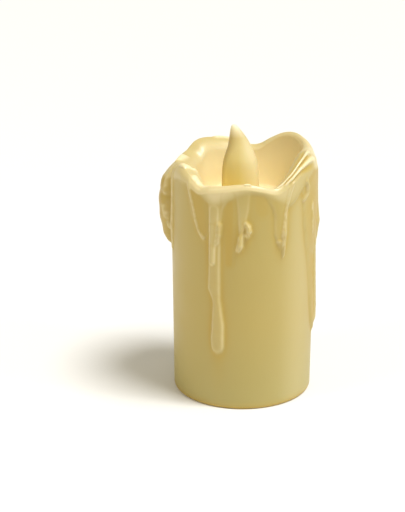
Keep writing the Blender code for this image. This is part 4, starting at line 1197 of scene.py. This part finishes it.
@dataclass
class BatteryBase:
    """The base plate with its battery door and its switch knob, which close the candle from below."""

    plastic: Rgb = (0.62, 0.49, 0.20)
    black: Rgb = (0.022, 0.022, 0.024)
    edge: float = 0.25 * MM
    knob_edge: float = 0.12 * MM

    def build(self, nodes: dict[str, Piece]) -> None:
        """Build the three pieces from their CAD nodes."""
        plate = PlainFinish("base_plastic", self.plastic, 0.48, grain_depth=0.06 * MM, tint=0.92)
        lid = PlainFinish("door_plastic", tuple(0.97 * v for v in self.plastic), 0.45, grain_depth=0.06 * MM,
                          tint=0.92)
        black = PlainFinish("knob_plastic", self.black, 0.42, tint=0.7)
        for part in (
            NeatCopy("base_carrier", "base_plate", "base_plastic", plate, self.edge),
            NeatCopy("battery_door", "door_panel", "base_plastic", lid, self.edge, Body.DOOR),
            NeatCopy("switch_knob", "knob", "black_plastic", black, self.knob_edge, Body.KNOB),
        ):
            part.build(nodes)


@dataclass
class Electronics:
    """Board, components, contacts, switch and wires."""

    edge: float = 0.06 * MM
    board_edge: float = 0.08 * MM

    def metal(self, name: str, colour: Rgb, roughness: float, grain: Grain,
              scale: float = 3000.0) -> PlainFinish:
        """A drawn or rolled metal, with its grain one way."""
        return PlainFinish(name, colour, roughness, 1.0, scale, 0.01 * MM, grain)

    def parts(self) -> tuple[NeatCopy, ...]:
        """The pieces, each with its finish and slot."""
        tin = self.metal("tinned_wire", (0.66, 0.65, 0.62), 0.28, Grain.UPRIGHT)
        nickel = self.metal("nickel_strip", (0.62, 0.60, 0.55), 0.25, Grain.ACROSS)
        brass = self.metal("brass_strip", (0.70, 0.52, 0.22), 0.25, Grain.ACROSS)
        steel = self.metal("pressed_steel", (0.60, 0.60, 0.60), 0.3, Grain.ACROSS, 2200.0)
        resin = PlainFinish("brown_resin", (0.20, 0.09, 0.03), 0.55)
        moulding = PlainFinish("chip_resin", (0.02, 0.02, 0.02), 0.5, tint=0.7)
        lacquer = PlainFinish("lacquer", (0.62, 0.47, 0.26), 0.35)
        wires = (
            ("wire_cell_to_switch", "red", (0.52, 0.02, 0.015), 0.86),
            ("wire_switch_to_board", "yellow", (0.70, 0.50, 0.02), 0.86),
            ("wire_cell_to_board", "black", (0.015, 0.015, 0.015), 0.7),
        )
        return (
            NeatCopy("led_lead_anode", "lamp_lead_long", "tinned_metal", tin, self.edge),
            NeatCopy("led_lead_cathode", "lamp_lead_short", "tinned_metal", tin, self.edge),
            NeatCopy("circuit_board", "board", "board_laminate", BoardFinish(), self.board_edge),
            NeatCopy("timer_chip", "chip", "black_plastic", moulding, self.edge),
            NeatCopy("resistor", "coated_resistor", "resistor_body", lacquer),
            NeatCopy("door_contact", "bridging_contact", "contact_nickel", nickel, self.edge, Body.DOOR),
            NeatCopy("contact_positive", "upper_contact_plus", "contact_brass", brass, self.edge),
            NeatCopy("contact_negative", "upper_contact_minus", "contact_nickel", nickel, self.edge),
            NeatCopy("switch_housing", "switch_case", "switch_steel", steel, self.edge),
            NeatCopy("switch_terminal_plate", "terminal_plate", "terminal_resin", resin, self.edge),
            *(NeatCopy(f"switch_pin_{number}", f"pin_{number}", "tinned_metal", tin, self.edge)
              for number in (1, 2, 3)),
            *(NeatCopy(node, f"{name}_wire", f"{name}_insulation",
                       PlainFinish(f"{name}_sleeve", colour, 0.38, tint=tint), smooth=60)
              for node, name, colour, tint in wires),
        )

    def build(self, nodes: dict[str, Piece]) -> None:
        """Build every piece from its CAD node."""
        for part in self.parts():
            part.build(nodes)


@dataclass
class TurnedParts:
    """Round pieces drawn anew with fine sides: cells, screws, lamp, spacer, capacitor and screw bosses."""

    button: Pair = (1.9 * MM, 1.0 * MM)
    crimp: float = 0.25 * MM
    can_edge: float = 0.5 * MM
    sleeve_ends: Pair = (1.6 * MM, 1.8 * MM)
    screws_in_base: tuple[str, ...] = ("base_screw_1", "base_screw_2", "base_screw_3")
    screws_in_board: tuple[str, ...] = ("board_screw_1", "board_screw_2")
    screw_radius: float = 1.1 * MM
    head_height: float = 0.9 * MM
    thread_pitch: float = 0.7 * MM
    cross_reach: float = 1.25 * MM
    cross_width: float = 0.36 * MM
    base_boss: Triple = (3.6 * MM, 2.3 * MM, 15.0 * MM)
    board_boss: Triple = (2.6 * MM, 59.0 * MM, 67.2 * MM)
    lamp_ring: float = 0.4 * MM
    lamp_foot: float = 1.0 * MM
    spacer_neck: float = 3.2 * MM
    spacer_hole: float = 1.95 * MM

    def build(self) -> None:
        """Build them all."""
        self.cells()
        self.screws()
        self.lamp()
        self.spacer_and_capacitor()
        self.bosses()

    def place(self, node: str) -> tuple[Pair, float, float, float]:
        """A round node's centre, radius, foot and top."""
        low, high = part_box(node)
        return ((low.x + high.x) / 2, (low.y + high.y) / 2), (high.x - low.x) / 2, low.z, high.z

    def cells(self) -> None:
        """Two cells, each with a sleeve, a crimped shoulder and a button at its positive end."""
        button, nub = self.button
        dark, amber = (0.03, 0.05, 0.09), (0.62, 0.42, 0.10)
        for node, turned_over, sleeve, stripe, band in (("battery_1", False, dark, amber, 0.72),
                                                        ("battery_2", True, amber, dark, 0.28)):
            centre, radius, foot, top = self.place(node)
            shoulder = top - foot - nub
            sunk = shoulder - self.crimp
            profile = [
                (radius - 1.6 * MM, 0.0), *round_profile(radius, self.crimp, shoulder, self.can_edge),
                (radius - 0.9 * MM, shoulder), (radius - 1.2 * MM, sunk), (button + 0.2 * MM, sunk),
                (button, shoulder), (button, top - foot - 0.2 * MM), (button - 0.2 * MM, top - foot),
            ]
            if turned_over:
                profile = [(wide, top - height) for wide, height in reversed(profile)]
            else:
                profile = [(wide, foot + height) for wide, height in profile]
            cell = turn(f"cell_{node[-1]}", centre, profile)
            low, high = self.sleeve_ends
            finish = CellFinish(f"cell_sleeve_{node[-1]}", sleeve, stripe, foot + low, top - high,
                                foot + band * (top - foot))
            fit_out(cell, finish.build(), "cell_can", node)

    def screws(self) -> None:
        """Pan-head screws with a cross recess and a ridged shank."""
        zinc = PlainFinish("zinc_plate", (0.60, 0.60, 0.58), 0.3, 1.0, 2600.0).build()
        for node in self.screws_in_base + self.screws_in_board:
            centre, head, foot, top = self.place(node)
            head_top = foot + self.head_height
            profile = [(0.62 * head, foot), (0.86 * head, foot + 0.1 * self.head_height),
                       (head, foot + 0.4 * self.head_height), (head, head_top), (self.screw_radius, head_top)]
            level = head_top + 0.5 * MM
            while level < top - 1.5 * MM:
                profile += [(self.screw_radius, level), (0.78 * self.screw_radius, level + 0.35 * MM)]
                level += self.thread_pitch
            profile += [(0.5 * self.screw_radius, top - 0.7 * MM), (0.15 * self.screw_radius, top)]
            screw = turn(node.replace("screw", "fixing"), centre, profile, 32)
            for length, width in ((self.cross_reach, self.cross_width), (self.cross_width, self.cross_reach)):
                deselect_all()
                bpy.ops.mesh.primitive_cube_add(size=1.0, location=(*centre, foot))
                tool = bpy.context.object
                tool.scale = (2 * length, 2 * width, self.head_height)
                carve(screw, tool)
            shade_smooth(screw, 40)
            fit_out(screw, zinc, "screw_steel", node)

    def lamp(self) -> None:
        """The LED, with its foot ring and domed top."""
        centre, rim, foot, top = self.place("led_lamp")
        radius, ring_top = rim - self.lamp_ring, foot + self.lamp_foot
        dome = [(radius * math.cos(a), top - radius + radius * math.sin(a))
                for a in (math.radians(10 * k) for k in range(9))]
        ring = round_profile(rim, foot, ring_top, 0.12 * MM)
        lamp = turn("lamp", centre, [*ring, (radius, ring_top), *dome])
        finish = PlainFinish("lamp_epoxy", (0.90, 0.80, 0.48), 0.12, tint=0.95, transmission=0.5)
        fit_out(lamp, finish.build(), "led_epoxy", "led_lamp")

    def spacer_and_capacitor(self) -> None:
        """The lamp's spacer, with its shoulder, and the capacitor, with its crimp."""
        centre, radius, foot, top = self.place("led_spacer")
        neck, hole = self.spacer_neck, self.spacer_hole
        shoulder = self.place("flame_lens")[2] - 0.3 * MM
        spacer = turn("lamp_spacer", centre, [
            (hole, foot), *round_profile(radius, foot, shoulder, 0.3 * MM), (neck, shoulder),
            (neck, top - 0.2 * MM), (neck - 0.2 * MM, top), (hole, top)], closed=True)
        white = PlainFinish("spacer_plastic", (0.80, 0.80, 0.76), 0.5)
        fit_out(spacer, white.build(), "white_plastic", "led_spacer")
        centre, radius, foot, top = self.place("capacitor")
        crimp = foot + 1.0 * MM
        can = turn("capacitor_can", centre, [
            (radius - 0.3 * MM, foot), (radius, foot + 0.25 * MM), (radius, crimp - 0.3 * MM),
            (radius - 0.3 * MM, crimp), (radius, crimp + 0.3 * MM), (radius, top - 0.3 * MM),
            (radius - 0.3 * MM, top), (radius - 0.6 * MM, top - 0.12 * MM)])
        navy = PlainFinish("capacitor_sleeve", (0.03, 0.04, 0.10), 0.3, grain=Grain.UPRIGHT, tint=0.8)
        fit_out(can, navy.build(), "capacitor_can", "capacitor")

    def bosses(self) -> None:
        """The bosses inside the shell that take the screws."""
        surface = PlainFinish("boss_plastic", (0.70, 0.58, 0.30), 0.5).build()
        hole = self.screw_radius + 0.3 * MM
        for node in self.screws_in_base + self.screws_in_board:
            radius, low, high = self.base_boss if node in self.screws_in_base else self.board_boss
            centre = self.place(node)[0]
            boss = turn(node.replace("screw", "boss"), centre, [
                (hole, low), (radius - 0.2 * MM, low), (radius, low + 0.2 * MM), (radius, high - 0.3 * MM),
                (radius - 0.3 * MM, high), (hole, high)], closed=True)
            fit_out(boss, surface, "wax_plastic", "candle_shell")


# ---------------------------------------------------------------------- stage


@dataclass(frozen=True)
class SoftLight:
    """An oblong area light that faces the candle, with its power in watts."""

    name: str
    place: Triple
    size: Pair
    power: float
    colour: Rgb


@dataclass
class Studio:
    """A pale floor, soft light mostly from the right, and the camera."""

    distance: float = 550.0 * MM
    elevation: float = math.radians(20.0)
    aim_height: float = 48.79 * MM
    lens: float = 107.98
    sensor: float = 36.0
    shift: float = -0.0791
    roll: float = math.radians(0.5)
    target: Triple = (0.0, 0.0, 50.0 * MM)
    floor_size: float = 6.0
    floor_tones: Pair = (0.84, 0.82)
    key_place: Triple = (0.34, -0.16, 0.93)
    key_spread: float = math.radians(21.0)
    key_strength: float = 2.75
    key_colour: Rgb = (1.0, 0.99, 0.97)
    lights: tuple[SoftLight, ...] = (
        SoftLight("strip", (0.58, -0.19, 0.34), (0.10, 0.50), 0.75, (0.70, 0.85, 1.0)),
        SoftLight("fill", (-0.54, -0.30, 0.58), (0.20, 0.20), 1.1, (1.0, 0.90, 0.64)),
    )
    world_colour: Rgb = (1.0, 0.95, 0.82)
    world_strength: float = 0.43

    def build(self) -> None:
        """Make the floor, the lights, the surroundings and the camera."""
        self.floor()
        self.key()
        for light in self.lights:
            self.light(light)
        self.world()
        self.camera()

    def floor(self) -> None:
        """A wide pale floor, just under the candle."""
        deselect_all()
        bpy.ops.mesh.primitive_plane_add(size=self.floor_size, location=(0, 0, -0.02 * MM))
        ground = bpy.context.object
        ground.name = "floor"
        sheet = NodeSheet("floor_paper")
        pale, grey = ((tone,) * 3 for tone in self.floor_tones)
        tone = sheet.mix(sheet.scaled(sheet.noise(3.0), 0.2), pale, grey)
        sheet.shade(Base_Color=tone, Roughness=0.8)
        dress(ground, sheet.material)

    def key(self) -> None:
        """A broad light from high on the right, even all over the floor."""
        data = bpy.data.lights.new("key", "SUN")
        data.angle = self.key_spread
        data.energy = self.key_strength
        data.color = self.key_colour
        self.aim(bpy.data.objects.new("key", data), self.key_place)

    def light(self, light: SoftLight) -> None:
        """Put up one of the area lights."""
        data = bpy.data.lights.new(light.name, "AREA")
        data.shape = "RECTANGLE"
        data.size, data.size_y = light.size
        data.energy = light.power
        data.color = light.colour
        self.aim(bpy.data.objects.new(light.name, data), light.place)

    def aim(self, lamp: Piece, place: Triple) -> None:
        """Put a lamp in the scene at a place, turned to the candle's middle."""
        bpy.context.scene.collection.objects.link(lamp)
        lamp.location = place
        ray = Vector(self.target) - Vector(place)
        lamp.rotation_euler = ray.to_track_quat("-Z", "Y").to_euler()

    def world(self) -> None:
        """An even, slightly warm white all round."""
        world = bpy.data.worlds.new("studio_white")
        bpy.context.scene.world = world
        world.use_nodes = True
        back = world.node_tree.nodes["Background"]
        back.inputs["Color"].default_value = (*self.world_colour, 1.0)
        back.inputs["Strength"].default_value = self.world_strength

    def camera(self) -> None:
        """The camera, looking down at the candle and rolled by a hair."""
        data = bpy.data.cameras.new("camera")
        data.lens = self.lens
        data.sensor_width = self.sensor
        data.shift_x = self.shift
        data.dof.use_dof = False
        view = bpy.data.objects.new("camera", data)
        bpy.context.scene.collection.objects.link(view)
        view.location = (0, -self.distance * math.cos(self.elevation),
                         self.aim_height + self.distance * math.sin(self.elevation))
        view.rotation_euler = Euler((math.pi / 2 - self.elevation, 0, 0))
        view.rotation_euler.rotate_axis("Z", self.roll)
        bpy.context.scene.camera = view
        bpy.context.scene.view_settings.view_transform = "Standard"


def main() -> None:
    """Build the candle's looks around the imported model; each piece is logged as it is fitted out."""
    logging.basicConfig(level=logging.INFO, format="%(message)s")
    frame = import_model()
    Studio().build()
    CandleShell().build()
    FlameLens().build()
    BatteryBase().build(frame["nodes"])
    Electronics().build(frame["nodes"])
    TurnedParts().build()


if __name__ == "__main__":
    main()
